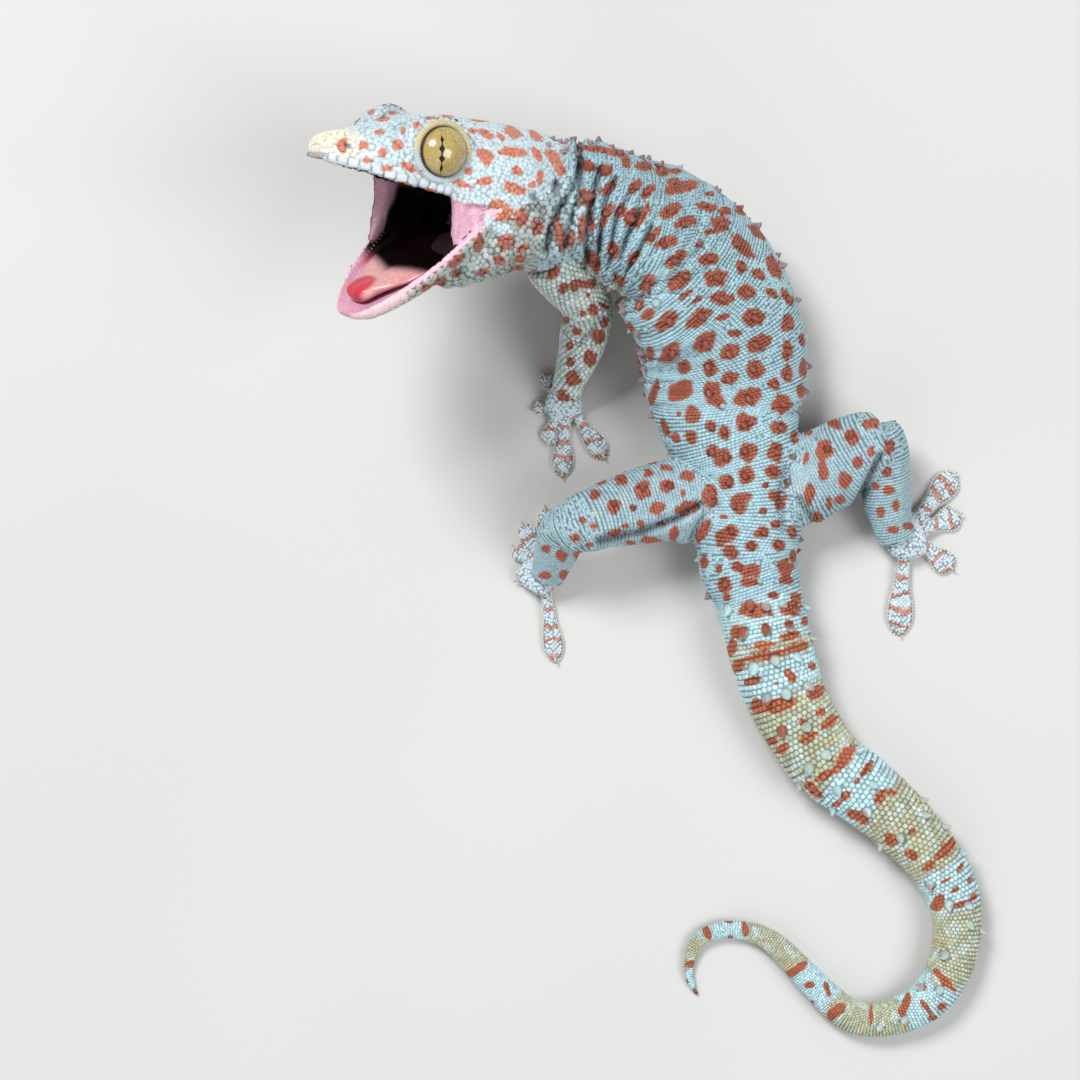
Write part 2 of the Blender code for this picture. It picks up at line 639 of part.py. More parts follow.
def toe(name, root, tip, pad, grow=0.0):
    """A toe widening to a flat pad, with a small claw over its end."""
    a, b = at(root[0], root[1], 1.6), at(tip[0], tip[1], 1.0)
    along = b - a
    length = along.length
    along.normalize()
    side = along.cross(Vector((0, 0, 1))).normalized()
    rise = side.cross(along)
    body = length - 0.9
    profile = [(0.0, 0.62, 1.45, 1.5), (0.42, 0.64, 1.2, 1.15), (0.68, 1.02, 1.0, 0.95),
               (0.88, 0.98, 0.9, 0.85), (1.0, 0.5, 0.6, 0.62)]
    rings = []
    for i, (f, w, h, z) in enumerate(profile):
        centre = Vector((a.x, a.y, 0)) + Vector((along.x, along.y, 0)) * body * f
        centre.z = z * 0.84
        rings.append([centre + side * pad * w * math.cos(math.pi * (j + 0.5) / 4)
                      + rise * h * math.sin(math.pi * (j + 0.5) / 4) for j in range(8)])
    return swell(loft(name, rings), grow)


def claw(name, root, tip):
    """A short hooked cone standing out of the toe's end."""
    a, b = at(root[0], root[1], 1.6), at(tip[0], tip[1], 1.0)
    along = (b - a).normalized()
    side = along.cross(Vector((0, 0, 1))).normalized()
    rise = side.cross(along)
    base = b - along * 1.5
    rings = []
    for f, r, z in ((0.0, 0.42, 1.15), (1.0, 0.13, 0.8)):
        centre = Vector((base.x, base.y, z)) + Vector((along.x, along.y, 0)) * 2.0 * f
        rings.append([centre + side * r * math.cos(2 * math.pi * j / 5)
                      + rise * r * math.sin(2 * math.pi * j / 5) for j in range(5)])
    return loft(name, rings)


# Colour, roughness and the node names that each finish is for
FINISHES = {"eye": ((0.42, 0.34, 0.10), 0.12, ("eye_",)),
            "tongue": ((0.78, 0.36, 0.38), 0.30, ("tongue",)),
            "head_skin": ((0.32, 0.42, 0.48), 0.55, ("head", "lower_jaw", "throat")),
            "foot_skin": ((0.42, 0.50, 0.62), 0.60, ("hand_", "foot_", "toe_")),
            "tail_skin": ((0.30, 0.30, 0.22), 0.60, ("tail_",)),
            "leg_skin": ((0.30, 0.38, 0.38), 0.60, ("arm_", "leg_")),
            "body_skin": ((0.28, 0.42, 0.50), 0.60, ("",))}


def dress(parts):
    """Give each part a material of its own colour and put the parts in one collection."""
    home = bpy.data.collections.new("tokay_gecko")
    bpy.context.scene.collection.children.link(home)
    made = {}
    for slot, (colour, roughness, _) in FINISHES.items():
        material = bpy.data.materials.new(slot)
        material.use_nodes = True
        shader = material.node_tree.nodes["Principled BSDF"]
        shader.inputs["Base Color"].default_value = (*colour, 1.0)
        shader.inputs["Roughness"].default_value = roughness
        made[slot] = material
    for name, obj in parts.items():
        slot = next(key for key, row in FINISHES.items() if name.startswith(row[2]))
        obj.data.materials.clear()
        obj.data.materials.append(made[slot])
        obj.data.shade_smooth()
        obj.data.set_sharp_from_angle(angle=math.radians(40))
        for coll in list(obj.users_collection):
            coll.objects.unlink(obj)
        home.objects.link(obj)


def body_slice(name, part, grow=0.0):
    """A named slice of the body, with fewer sides and shorter steps down the tail."""
    t0, t1 = CUTS[part]
    sides = 22 if t0 < 11 else (16 if t0 < 20 else 12)
    return body_part(name, t0, t1, sides, 3.4 if t0 < 20 else 2.8, grow)


def body_tool(part):
    """A cutter that leaves the gap around a slice of the body."""
    return body_slice("tool", part, GAP)


def main():
    """Make every part, cut each by its neighbours with a gap, and stand them on the floor."""
    for obj in list(bpy.data.objects):
        bpy.data.objects.remove(obj)

    parts = {name: body_slice(name, name) for name in CUTS}

    parts["head"] = make_head()
    parts["lower_jaw"] = cut(jaw_solid("lower_jaw"), [head_solid("tool", GAP)])
    parts["tongue"] = cut(make_tongue(), [jaw_solid("tool", GAP), head_solid("tool", GAP)])
    parts["throat"] = cut(throat_solid("throat"), [head_solid("tool", GAP), jaw_solid("tool", GAP),
                                                   body_tool("neck"),
                                                   swell(make_tongue(), GAP)])
    cut(parts["head"], [body_tool("neck")])
    for side, word in ((1, "left"), (-1, "right")):
        parts["eye_" + word] = ball("eye_" + word, eye_place(side), (EYE,) * 3, eye_basis(side), 16, 10)

    for key, points in LIMBS.items():
        obj = limb(key, points, 12, 6)
        near = ("neck", "chest") if key.startswith("arm") else ("belly", "pelvis")
        tools = [body_tool(b) for b in near]
        if key == "arm_left_upper":
            tools += [throat_solid("tool", GAP), head_solid("tool", GAP)]
        if key.endswith("lower"):
            tools.append(limb("tool", LIMBS[key.replace("lower", "upper")], 12, 6, GAP))
        parts[key] = cut(obj, tools)

    owner = {"hand_left": "arm_left", "hand_right": "arm_right", "foot_left": "leg_left",
             "foot_right": "leg_right"}
    for key, points in FEET.items():
        shin = owner[key] + "_lower"
        obj = limb(key, points, 12, 4)
        parts[key] = cut(obj, [limb("tool", LIMBS[shin], 12, 6, GAP)])
        for i, (root, tip, pad) in enumerate(TOES[key], 1):
            name = "toe_%s_%d" % (key, i)
            tools = [limb("tool", points, 12, 4, GAP), limb("tool", LIMBS[shin], 12, 6, GAP)]
            for other in TOES[key][:i - 1]:
                tools.append(toe("tool", *other, grow=GAP))
            obj = cut(toe(name, root, tip, pad), [floor_tool()])
            obj = union(obj, [claw("claw", root, tip)])
            parts[name] = cut(obj, tools)

    keep_out = [(at(*LIMBS[key][0][:3]), reach) for key, reach in
                (("arm_left_upper", 9.0), ("arm_right_upper", 9.0),
                 ("leg_left_upper", 12.0), ("leg_right_upper", 12.0))]
    keep_out += [(at(*LIMBS[key][1][:3]), reach) for key, reach in
                 (("arm_left_upper", 8.0), ("arm_right_upper", 8.0),
                  ("leg_left_upper", 11.0), ("leg_right_upper", 11.0))]
    for name in SPIKE_ROWS:
        add_spikes(parts[name], name, keep_out)

    for name, obj in parts.items():
        low = min((v.co.z for v in obj.data.vertices), default=0.0)
        if low < FLOOR * MM - 2e-6:
            cut(obj, [floor_tool()])
            low = min(v.co.z for v in obj.data.vertices)
        print("%-22s faces %5d low %.2f mm" % (name, len(obj.data.polygons), low / MM))
    dress(parts)


main()
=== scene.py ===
"""Looks of a life-size tokay gecko model: one skin with its scales, eyes, mouth, tongue and claws."""
from __future__ import annotations

import logging
import math
from dataclasses import dataclass, field
from enum import Enum, IntEnum
from typing import Callable, Iterable, Sequence

import bpy
import numpy as np
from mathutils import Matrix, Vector
from mathutils.bvhtree import BVHTree
from mathutils.kdtree import KDTree

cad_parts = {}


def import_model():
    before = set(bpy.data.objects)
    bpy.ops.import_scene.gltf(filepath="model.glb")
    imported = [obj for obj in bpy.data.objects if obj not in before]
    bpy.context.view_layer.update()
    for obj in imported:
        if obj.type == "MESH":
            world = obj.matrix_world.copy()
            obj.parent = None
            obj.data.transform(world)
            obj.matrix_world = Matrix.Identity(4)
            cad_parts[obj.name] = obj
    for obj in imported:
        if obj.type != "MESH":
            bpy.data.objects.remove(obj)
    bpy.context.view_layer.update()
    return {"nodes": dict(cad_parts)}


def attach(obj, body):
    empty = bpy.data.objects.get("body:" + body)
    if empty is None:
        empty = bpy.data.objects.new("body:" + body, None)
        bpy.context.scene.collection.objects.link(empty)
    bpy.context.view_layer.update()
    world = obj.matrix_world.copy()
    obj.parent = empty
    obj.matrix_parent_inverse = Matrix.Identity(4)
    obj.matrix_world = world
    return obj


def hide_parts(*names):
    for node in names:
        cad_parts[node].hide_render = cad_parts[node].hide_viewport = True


LOG = logging.getLogger("tokay_gecko")
MM = 0.001
SEED = 20
Array = np.ndarray
Socket = bpy.types.NodeSocket
Blend = Callable[[Array, Array], None]
# Directions of the four waves that make the unevenness
WAVES = ((1.0, 0.35, -0.6), (-0.45, 1.0, 0.5), (0.6, -0.7, 1.0), (-0.9, -0.5, 0.8))

# The drawing that the sizes are read from: its centre, its units in a mm and the height it is seen from
CENTRE_X, CENTRE_Y, CENTRE = -42.03, -22.18, 540.0
UNITS = 4.8
EYE_HEIGHT = 600.0


def at(px: float, py: float, z: float) -> Array:
    """Place a point given in drawing units, at a height in mm.

    Args:
        px: Units to the right in the drawing.
        py: Units down in the drawing.
        z: Height over the floor in mm.

    Returns:
        The point in mm.
    """
    k = (1.0 - z / EYE_HEIGHT) / UNITS
    return np.array([(px - CENTRE) * k + CENTRE_X, (CENTRE - py) * k + CENTRE_Y, z])


def on_drawing(points: Array) -> Array:
    """Give the drawing units of points in mm.

    Args:
        points: Rows of x, y, z in mm.

    Returns:
        Rows of drawing x and y.
    """
    k = UNITS / (1.0 - points[:, 2] / EYE_HEIGHT)
    return np.stack([(points[:, 0] - CENTRE_X) * k + CENTRE, CENTRE - (points[:, 1] - CENTRE_Y) * k], 1)


def tint(red: int, green: int, blue: int) -> Array:
    """Turn a colour of 0 to 255 into linear light."""
    c = np.array([red, green, blue]) / 255.0
    return np.where(c <= 0.04045, c / 12.92, ((c + 0.055) / 1.055) ** 2.4)


class Tone(Enum):
    """Colours by name, as red, green and blue of 0 to 255."""

    GROUND = (164, 198, 208)
    PALE = (194, 209, 214)
    CREAM = (222, 216, 190)
    RUST = (158, 82, 60)
    ORANGE = (200, 112, 66)
    OLIVE = (176, 178, 146)
    FLESH = (196, 92, 104)
    # Painted shade: black for the deep back of the mouth
    DARK = (24, 8, 10)
    SNOUT = (232, 224, 202)
    CHEEK = (186, 197, 203)
    JAW = (166, 172, 164)
    # Olive brown of the throat, darkened with painted shadow from under the head
    THROAT_BROWN_AND_SHADOW = (112, 104, 88)
    ARM = (204, 214, 204)
    ARM_BLUE = (180, 202, 206)
    LEG = (150, 176, 184)
    LEG_SAND = (198, 202, 186)
    FOOT = (200, 214, 222)
    BELLY = (214, 208, 184)
    NECK = (132, 160, 172)
    SPOT_RIM = (150, 142, 112)
    SPOT_CORE = (124, 62, 48)
    HEAD_RUST = (190, 104, 80)
    JAW_RUST = (150, 76, 54)
    TOE_BAR = (184, 112, 84)
    TOE_EDGE = (236, 226, 196)
    # Painted shade for the grooves of folds and wrinkles
    CREASE = (54, 52, 58)
    # Grey-blue of the ear, with painted shade in the pressed-in ears and nostrils
    PIT_GREY_AND_SHADE = (104, 116, 128)
    BAND_EDGE = (160, 96, 62)
    TAIL_TAN = (196, 150, 100)
    TAIL_MINT = (192, 214, 214)
    TAIL_LIGHT = (182, 214, 218)
    TAIL_ORANGE = (184, 110, 58)
    LINING = (214, 160, 184)
    PALATE = (240, 230, 206)
    CHEEK_SKIN = (206, 160, 178)
    # Painted sheen: a lighter pink standing in for wet highlights
    CHEEK_SHEEN = (226, 188, 200)
    CHEEK_EDGE = (128, 74, 92)
    JAW_RIM = (232, 192, 204)
    JAW_TIP = (236, 202, 204)
    BROWN_CONE = (122, 62, 50)
    PALE_CONE = (150, 172, 172)
    FRINGE = (222, 222, 208)
    EYE_RIM = (178, 190, 194)
    EYE_CROWN = (196, 182, 140)
    TONGUE = (214, 158, 154)
    TONGUE_TIP = (196, 62, 76)
    # Painted shade: black for the tongue's root deep in the mouth
    TONGUE_ROOT_SHADE = (12, 4, 6)
    TOOTH = (228, 206, 202)
    CLAW = (206, 198, 182)
    CLAW_TIP = (92, 70, 54)
    IRIS_DEEP = (128, 110, 60)
    IRIS_GOLD = (176, 154, 90)
    IRIS_LIGHT = (206, 188, 130)

    @property
    def light(self) -> Array:
        """The colour as linear light."""
        return tint(*self.value)


def spline(rows: Array, t: Array) -> Array:
    """Follow a smooth curve through rows of numbers.

    Args:
        rows: The rows that the curve passes through.
        t: Real row indices.

    Returns:
        One row for each index.
    """
    last = len(rows) - 1
    t = np.clip(t, 0, last)
    i = np.minimum(t.astype(int), last - 1)
    f = (t - i)[:, None]
    r = np.vstack([2 * rows[0] - rows[1], rows, 2 * rows[-1] - rows[-2]])
    a, b, c, d = r[i], r[i + 1], r[i + 2], r[i + 3]
    bend, twist = 2 * a - 5 * b + 4 * c - d, 3 * b - a - 3 * c + d
    return 0.5 * (2 * b + (c - a) * f + bend * f ** 2 + twist * f ** 3)


def unit(v: Array) -> Array:
    """Scale vectors to length one."""
    return v / np.maximum(np.linalg.norm(v, axis=-1, keepdims=True), 1e-9)


def ramp(x: Array, low: float, high: float) -> Array:
    """Rise smoothly from 0 at low to 1 at high."""
    f = np.clip((x - low) / (high - low), 0.0, 1.0)
    return f * f * (3 - 2 * f)


def ripple(points: Array, size: float, phase: float = 0.0) -> Array:
    """Smooth unevenness between about -1 and 1.

    Args:
        points: Rows of x, y, z in mm.
        size: Width of its bumps in mm.
        phase: Shift that gives another pattern.

    Returns:
        One value for each point.
    """
    total = np.zeros(len(points))
    for k, wave in enumerate(WAVES):
        total += np.sin((points @ np.array(wave)) * (2.2 + 0.37 * k) / size + phase * (k + 1.3) + 1.7 * k)
    return total / 3.0


def turns(count: int) -> Array:
    """Even angles round a circle, in radians."""
    return np.arange(count) * 2 * math.pi / count


def sweep(middle: Array, side: Array, rise: Array, sizes: tuple[Array, Array], angles: Array,
          flat: Array | float = 1.0) -> Array:
    """Lay rings round a path.

    Args:
        middle: The middle of each ring.
        side: Direction to the side of each ring.
        rise: Direction up from each ring.
        sizes: Half width and half height of each ring.
        angles: Angles round the rings.
        flat: How much of the height each angle keeps.

    Returns:
        Rings by points round.
    """
    a, b = sizes
    return (middle[:, None] + side[:, None] * (a[:, None] * np.cos(angles))[..., None]
            + rise[:, None] * (b[:, None] * np.sin(angles) * flat)[..., None])


def edge_distance(points: Array, line: Sequence[tuple[float, float]]) -> Array:
    """Distance of points on the drawing from a bent line, in drawing units.

    Args:
        points: Places on the drawing.
        line: The bent line's corners.

    Returns:
        One distance for each place.
    """
    best = np.full(len(points), 1e9)
    for a, b in zip(line, line[1:]):
        a, b = np.array(a, float), np.array(b, float)
        f = np.clip((points - a) @ (b - a) / max((b - a) @ (b - a), 1e-9), 0, 1)
        best = np.minimum(best, np.linalg.norm(points - a - f[:, None] * (b - a), axis=1))
    return best


class Part(IntEnum):
    """What a place on the skin belongs to."""

    BODY = 0
    TAIL = 1
    HEAD = 2
    JAW = 3
    THROAT = 4
    ARM = 5
    LEG = 6
    FOOT = 7
    TOE = 8


# Shapes

@dataclass
class Wrap:
    """A closed tube of skin, as a grid of points along and round it.

    Args:
        name: What it is.
        part: The part that it belongs to.
        grid: Points in mm, rings by points round.
        inside: Which points face into the mouth.
    """

    name: str
    part: Part
    grid: Array
    inside: Array | None = None

    def __post_init__(self) -> None:
        """Measure the tube."""
        rings, count = self.grid.shape[:2]
        middle = self.grid.mean(axis=1)
        step = np.linalg.norm(np.diff(middle, axis=0), axis=1)
        self.along = np.concatenate([[0.0], np.cumsum(step)])
        if self.inside is None:
            self.inside = np.zeros((rings, count), bool)
        ds = unit(np.gradient(self.grid, axis=0))
        dt = unit(np.roll(self.grid, -1, axis=1) - np.roll(self.grid, 1, axis=1))
        normal = unit(np.cross(dt, ds))
        if ((self.grid - middle[:, None]) * normal).sum() < 0:
            normal = -normal
        self.tangent, self.normal = ds, normal

    def mesh(self) -> tuple[Array, Array]:
        """Give the closed tube's points and its triangles.

        Returns:
            The points and the triangles.
        """
        m, n = self.grid.shape[:2]
        i, j = np.meshgrid(np.arange(m - 1), np.arange(n), indexing="ij")
        a, b = i * n + j, i * n + (j + 1) % n
        c, d = b + n, a + n
        faces = [np.stack(corners, -1).reshape(-1, 3) for corners in ((a, b, c), (a, c, d))]
        ends = self.grid[0].mean(0)[None], self.grid[-1].mean(0)[None]
        j = np.arange(n)
        front = np.stack([np.full(n, m * n), (j + 1) % n, j], 1)
        back = np.stack([np.full(n, m * n + 1), (m - 1) * n + j, (m - 1) * n + (j + 1) % n], 1)
        return np.concatenate([self.grid.reshape(-1, 3), *ends]), np.concatenate([*faces, front, back])

    def place(self, s: Array, angle: Array) -> tuple[Array, Array, Array]:
        """Find places on the tube.

        Args:
            s: Distances along it in mm.
            angle: Angles round it in radians.

        Returns:
            The points, their outward directions and the directions along the tube.
        """
        m, n = self.grid.shape[:2]
        row = np.clip(np.interp(s, self.along, np.arange(m)), 0, m - 1.001)
        col = (angle / (2 * math.pi) * n) % n
        i, j = row.astype(int), col.astype(int) % n
        fi, fj = (row - i)[:, None], (col - col.astype(int))[:, None]
        k = (j + 1) % n
        out = []
        for field_ in (self.grid, self.normal, self.tangent):
            top = field_[i, j] * (1 - fj) + field_[i, k] * fj
            low = field_[i + 1, j] * (1 - fj) + field_[i + 1, k] * fj
            out.append(top * (1 - fi) + low * fi)
        return out[0], unit(out[1]), unit(out[2])

    def girth(self, s: float) -> float:
        """Length round the tube at a distance along it, in mm.

        Args:
            s: Distance along the tube in mm.

        Returns:
            The length.
        """
        i = int(np.clip(np.interp(s, self.along, np.arange(len(self.along))), 0, len(self.along) - 1))
        ring = self.grid[i]
        return float(np.linalg.norm(ring - np.roll(ring, 1, axis=0), axis=1).sum())


@dataclass
class Trunk:
    """Neck, body and tail: one long tube along the spine.

    Args:
        spine: Drawing x and y, height, roll in degrees, half width and half depth of each station.
        rest_from: The first station that rests on the floor.
        sink: How far the skin lies inside the solids, in mm.
        tail_at: The station where the tail starts.
        whorl: Distance between the tail's rings of pointed scales, in mm.
        step: Distance between the rings of the tube.
        stations: The same stations in mm.
    """

    spine: Sequence[tuple[float, ...]] = (
        (555, 193, 36.0, 76, 12.6, 12.6), (597, 205, 34.0, 68, 14.0, 12.0),
        (626, 222, 31.0, 58, 16.0, 12.4), (658, 238, 27.6, 47, 18.0, 12.2),
        (686, 270, 24.0, 38, 19.5, 12.0), (710, 305, 19.4, 31, 19.0, 12.0),
        (722, 343, 15.6, 24, 18.3, 11.6), (727, 381, 12.4, 18, 17.5, 11.2),
        (731, 419, 10.8, 12, 15.3, 10.8), (745, 465, 9.6, 8, 11.8, 9.8),
        (750, 512, 9.0, 4, 11.0, 9.3), (747, 556, 8.3, 8, 10.5, 8.6),
        (760, 602, 7.7, 8, 9.1, 8.0), (771, 650, 7.5, 5, 8.9, 7.8),
        (783, 690, 7.0, 2, 8.4, 7.3), (802, 727, 6.7, 0, 8.0, 7.0),
        (826, 762, 6.5, 0, 7.8, 6.8), (857, 785, 6.3, 0, 7.5, 6.6),
        (893, 815, 5.8, 0, 6.9, 6.1), (929, 853, 5.2, 0, 6.2, 5.5),
        (951, 890, 4.7, 0, 5.7, 5.0), (957, 925, 4.3, 0, 5.2, 4.6),
        (950, 966, 4.0, 0, 4.9, 4.3), (928, 1000, 3.6, 0, 4.4, 3.9),
        (888, 1018, 3.1, 0, 3.9, 3.4), (850, 1015, 2.9, 0, 3.6, 3.2),
        (817, 987, 2.5, 0, 3.2, 2.8), (776, 945, 2.0, 0, 2.6, 2.3),
        (749, 932, 1.7, 0, 2.2, 2.0), (721, 930, 1.5, 0, 2.0, 1.8),
        (699, 940, 1.25, 0, 1.75, 1.55), (689, 962, 0.95, 0, 1.35, 1.25),
        (690, 980, 0.75, 0, 1.05, 1.0), (698, 996, 0.5, 0, 0.6, 0.6))
    rest_from: int = 8
    sink: float = 0.25
    tail_at: float = 11.9
    whorl: float = 6.6
    step: float = 0.45
    stations: Array = field(init=False)

    def __post_init__(self) -> None:
        """Turn the drawn stations into places in mm."""
        rows = []
        for i, (px, py, z, roll, a, b) in enumerate(self.spine):
            if i >= self.rest_from:
                r = math.radians(roll)
                z = math.hypot(a * math.sin(r), b * math.cos(r)) * 0.955 - 0.08
            rows.append((*at(px, py, z), roll, a, b))
        self.stations = np.array(rows)

    def wrap(self) -> Wrap:
        """Make the tube along the spine.

        Returns:
            The tube of neck, body and tail.
        """
        fine = np.linspace(0, len(self.spine) - 1, 6601)
        middle = spline(self.stations, fine)[:, :3]
        run = np.concatenate([[0], np.cumsum(np.linalg.norm(np.diff(middle, axis=0), axis=1))])
        t = np.interp(np.arange(0, run[-1], self.step), run, fine)
        row = spline(self.stations, t)
        forward = unit(spline(self.stations, t - 0.05)[:, :3] - spline(self.stations, t + 0.05)[:, :3])
        left = unit(np.cross([0, 0, 1], forward))
        up = unit(np.cross(forward, left))
        roll = np.radians(row[:, 3])[:, None]
        side, rise = left * np.cos(roll) + up * np.sin(roll), up * np.cos(roll) - left * np.sin(roll)
        s = np.interp(t, fine, run)
        self.tail_s = float(np.interp(self.tail_at, fine, run))
        self.length = float(run[-1])
        ring_wave = np.where(s > self.tail_s, 0.022 * (((s - self.tail_s) / self.whorl) % 1.0 - 0.5), 0.0)
        w = turns(120)
        flat = 1.0 - 0.05 * np.maximum(0.0, -np.sin(w)) ** 3
        into_head = 0.88 + 0.12 * ramp(s, 0.0, 7.5)
        a = np.maximum(row[:, 4] - self.sink, 0.35) * (1 + ring_wave) * into_head
        b = np.maximum(row[:, 5] - self.sink, 0.35) * (1 + ring_wave) * into_head
        return Wrap("trunk", Part.BODY, sweep(row[:, :3], side, rise, (a, b), w, flat))


@dataclass
class Skull:
    """The head's own frame, x forward from the snout tip, y left and z up, and the shapes in it.

    Args:
        tip: Drawing x and y of the snout's tip, and its height in mm.
        yaw: How far the snout turns up from the floor, in degrees.
        pitch: How far it points up in the drawing.
        turn: How far the head rolls.
        eye_radius: Radius of an eyeball in mm.
        eye_spot: Centre of the left eye.
        pits: Place, half sizes and depth of the ear and the nostril.
        joint: Place of the jaw's joint, forward and up.
        gape: How far the jaw opens, in degrees.
        gaze: How far the slit of the eye looks ahead.
        sink: How far the skin lies inside the solids, in mm.
        rows: Distance behind the snout's tip, half width, crown and lip of each section.
        far_lips: Distance behind the snout's tip and height of the right lip.
        jaw_rows: Distance from the joint, half width, depth and dish of each section of the jaw.
        throat_rows: Drawing x and y, height, half width and half depth along the throat.
        brow: Centre and half sizes of the left brow.
        nose: Centre and half sizes of the left side of the nose.
        rim: Radius and half thickness of the ridge round an eye.
        basis: The directions forward, left and up, as columns.
    """

    tip: tuple[float, float, float] = (316, 148, 62.0)
    yaw: float = 35.0
    pitch: float = 8.5
    turn: float = 9.0
    eye_radius: float = 5.3
    eye_spot: tuple[float, float, float] = (-20.3, 9.7, 4.7)
    pits: Sequence[tuple[tuple[float, float, float], tuple[float, float], float]] = (
        ((-45.4, 14.6, 2.4), (1.7, 3.0), 1.7), ((-3.4, 5.3, 1.9), (0.75, 0.6), 0.9))
    joint: tuple[float, float] = (-32.5, -3.0)
    gape: float = 54.3
    gaze: float = 0.36
    sink: float = 0.2
    rows: Sequence[tuple[float, ...]] = (
        (0.0, 3.0, 2.0, -1.5), (0.7, 4.3, 2.9, -1.9), (2.0, 5.4, 3.6, -2.0), (4.0, 6.6, 4.3, -2.0),
        (6.5, 7.8, 5.1, -1.9), (9.5, 9.3, 6.4, -2.2), (12.5, 10.3, 7.8, -2.5), (15.5, 11.1, 9.1, -2.6),
        (18.5, 11.8, 10.1, -2.6), (20.3, 12.2, 10.6, -2.7), (21.5, 12.5, 10.9, -2.8),
        (22.7, 12.8, 11.2, -2.8), (24.0, 13.1, 11.4, -2.9), (24.7, 13.4, 11.5, -5.2),
        (25.6, 13.8, 11.7, -10.2), (26.6, 14.2, 11.9, -12.6), (27.8, 14.6, 12.0, -11.0),
        (29.5, 15.1, 12.1, -8.2), (31.5, 15.6, 12.2, -6.6), (34.0, 16.0, 12.5, -7.8),
        (37.5, 16.3, 12.8, -8.6), (40.5, 16.0, 13.0, -9.2), (43.5, 15.1, 13.1, -9.7),
        (46.5, 14.3, 13.0, -9.9), (49.5, 13.6, 12.8, -9.9), (53.0, 12.9, 12.4, -9.6))
    far_lips: Sequence[tuple[float, float]] = (
        (20.3, -2.9), (21.5, -6.5), (22.7, -15.6), (24.0, -15.4), (24.7, -14.5), (25.6, -13.2),
        (26.6, -11.9), (27.8, -10.5), (29.5, -8.2), (31.5, -6.6))
    jaw_rows: Sequence[tuple[float, ...]] = (
        (32.2, 2.6, 1.5, 0.0), (31.4, 4.5, 2.4, 0.3), (29.6, 6.7, 3.2, 0.9), (26.8, 9.0, 3.9, 1.6),
        (23.4, 11.0, 4.7, 2.2), (19.0, 12.9, 5.4, 2.6), (14.8, 14.1, 6.2, 2.8), (10.5, 14.8, 7.0, 2.8),
        (6.2, 15.2, 7.8, 2.4), (2.4, 15.4, 8.6, 1.6), (-1.0, 15.0, 9.2, 0.5))
    throat_rows: Sequence[tuple[float, ...]] = (
        (432, 272, 48, 5.0, 3.4), (446, 263, 47, 8.0, 5.2), (466, 250, 45, 10.6, 6.4),
        (490, 236, 43, 12.2, 7.4), (515, 225, 41, 12.9, 9.4), (540, 217, 39, 12.9, 9.6),
        (566, 212, 37, 12.2, 9.2))
    brow: Sequence[tuple[float, float, float]] = ((-19.8, 7.9, 4.6), (7.8, 4.6, 6.2))
    nose: Sequence[tuple[float, float, float]] = ((-3.8, 3.5, 1.5), (2.5, 1.7, 1.7))
    rim: tuple[float, float] = (5.75, 0.95)
    basis: Array = field(init=False)

    def __post_init__(self) -> None:
        """Work out the directions forward, left and up of the head."""
        a, p, r = (math.radians(v) for v in (self.yaw, self.pitch, self.turn))
        forward = np.array([-math.cos(a) * math.cos(p), math.cos(a) * math.sin(p), math.sin(a)])
        up0 = np.array([math.sin(p), math.cos(p), 0.0])
        left0 = np.cross(up0, forward)
        up = up0 * math.cos(r) + left0 * math.sin(r)
        left = left0 * math.cos(r) - up0 * math.sin(r)
        self.basis = np.stack([forward, left, up], 1)
        self.snout = at(*self.tip)
        self.open = math.radians(self.gape)

    def world(self, local: Array) -> Array:
        """Place points of the head's frame."""
        return self.snout + np.asarray(local, float) @ self.basis.T

    def local(self, points: Array) -> Array:
        """Give points in the head's frame."""
        return (points - self.snout) @ self.basis

    def jaw_world(self, local: Array) -> Array:
        """Place points given along the jaw from its joint, to the left, and up from its rim.

        Args:
            local: Rows of those three numbers in mm.

        Returns:
            The points in mm.
        """
        local = np.asarray(local, float)
        v, y, z = local[..., 0], local[..., 1], local[..., 2]
        x = self.joint[0] + v * math.cos(self.open) + z * math.sin(self.open)
        h = self.joint[1] - v * math.sin(self.open) + z * math.cos(self.open)
        return self.world(np.stack([x, y, h], -1))

    def jaw_local(self, points: Array) -> Array:
        """Give points along the jaw from its joint, to the left, and up from its rim.

        Args:
            points: Points in mm.

        Returns:
            Rows of those three numbers in mm.
        """
        p = self.local(points)
        x, h = p[:, 0] - self.joint[0], p[:, 2] - self.joint[1]
        c, s = math.cos(self.open), math.sin(self.open)
        return np.stack([x * c - h * s, p[:, 1], x * s + h * c], 1)

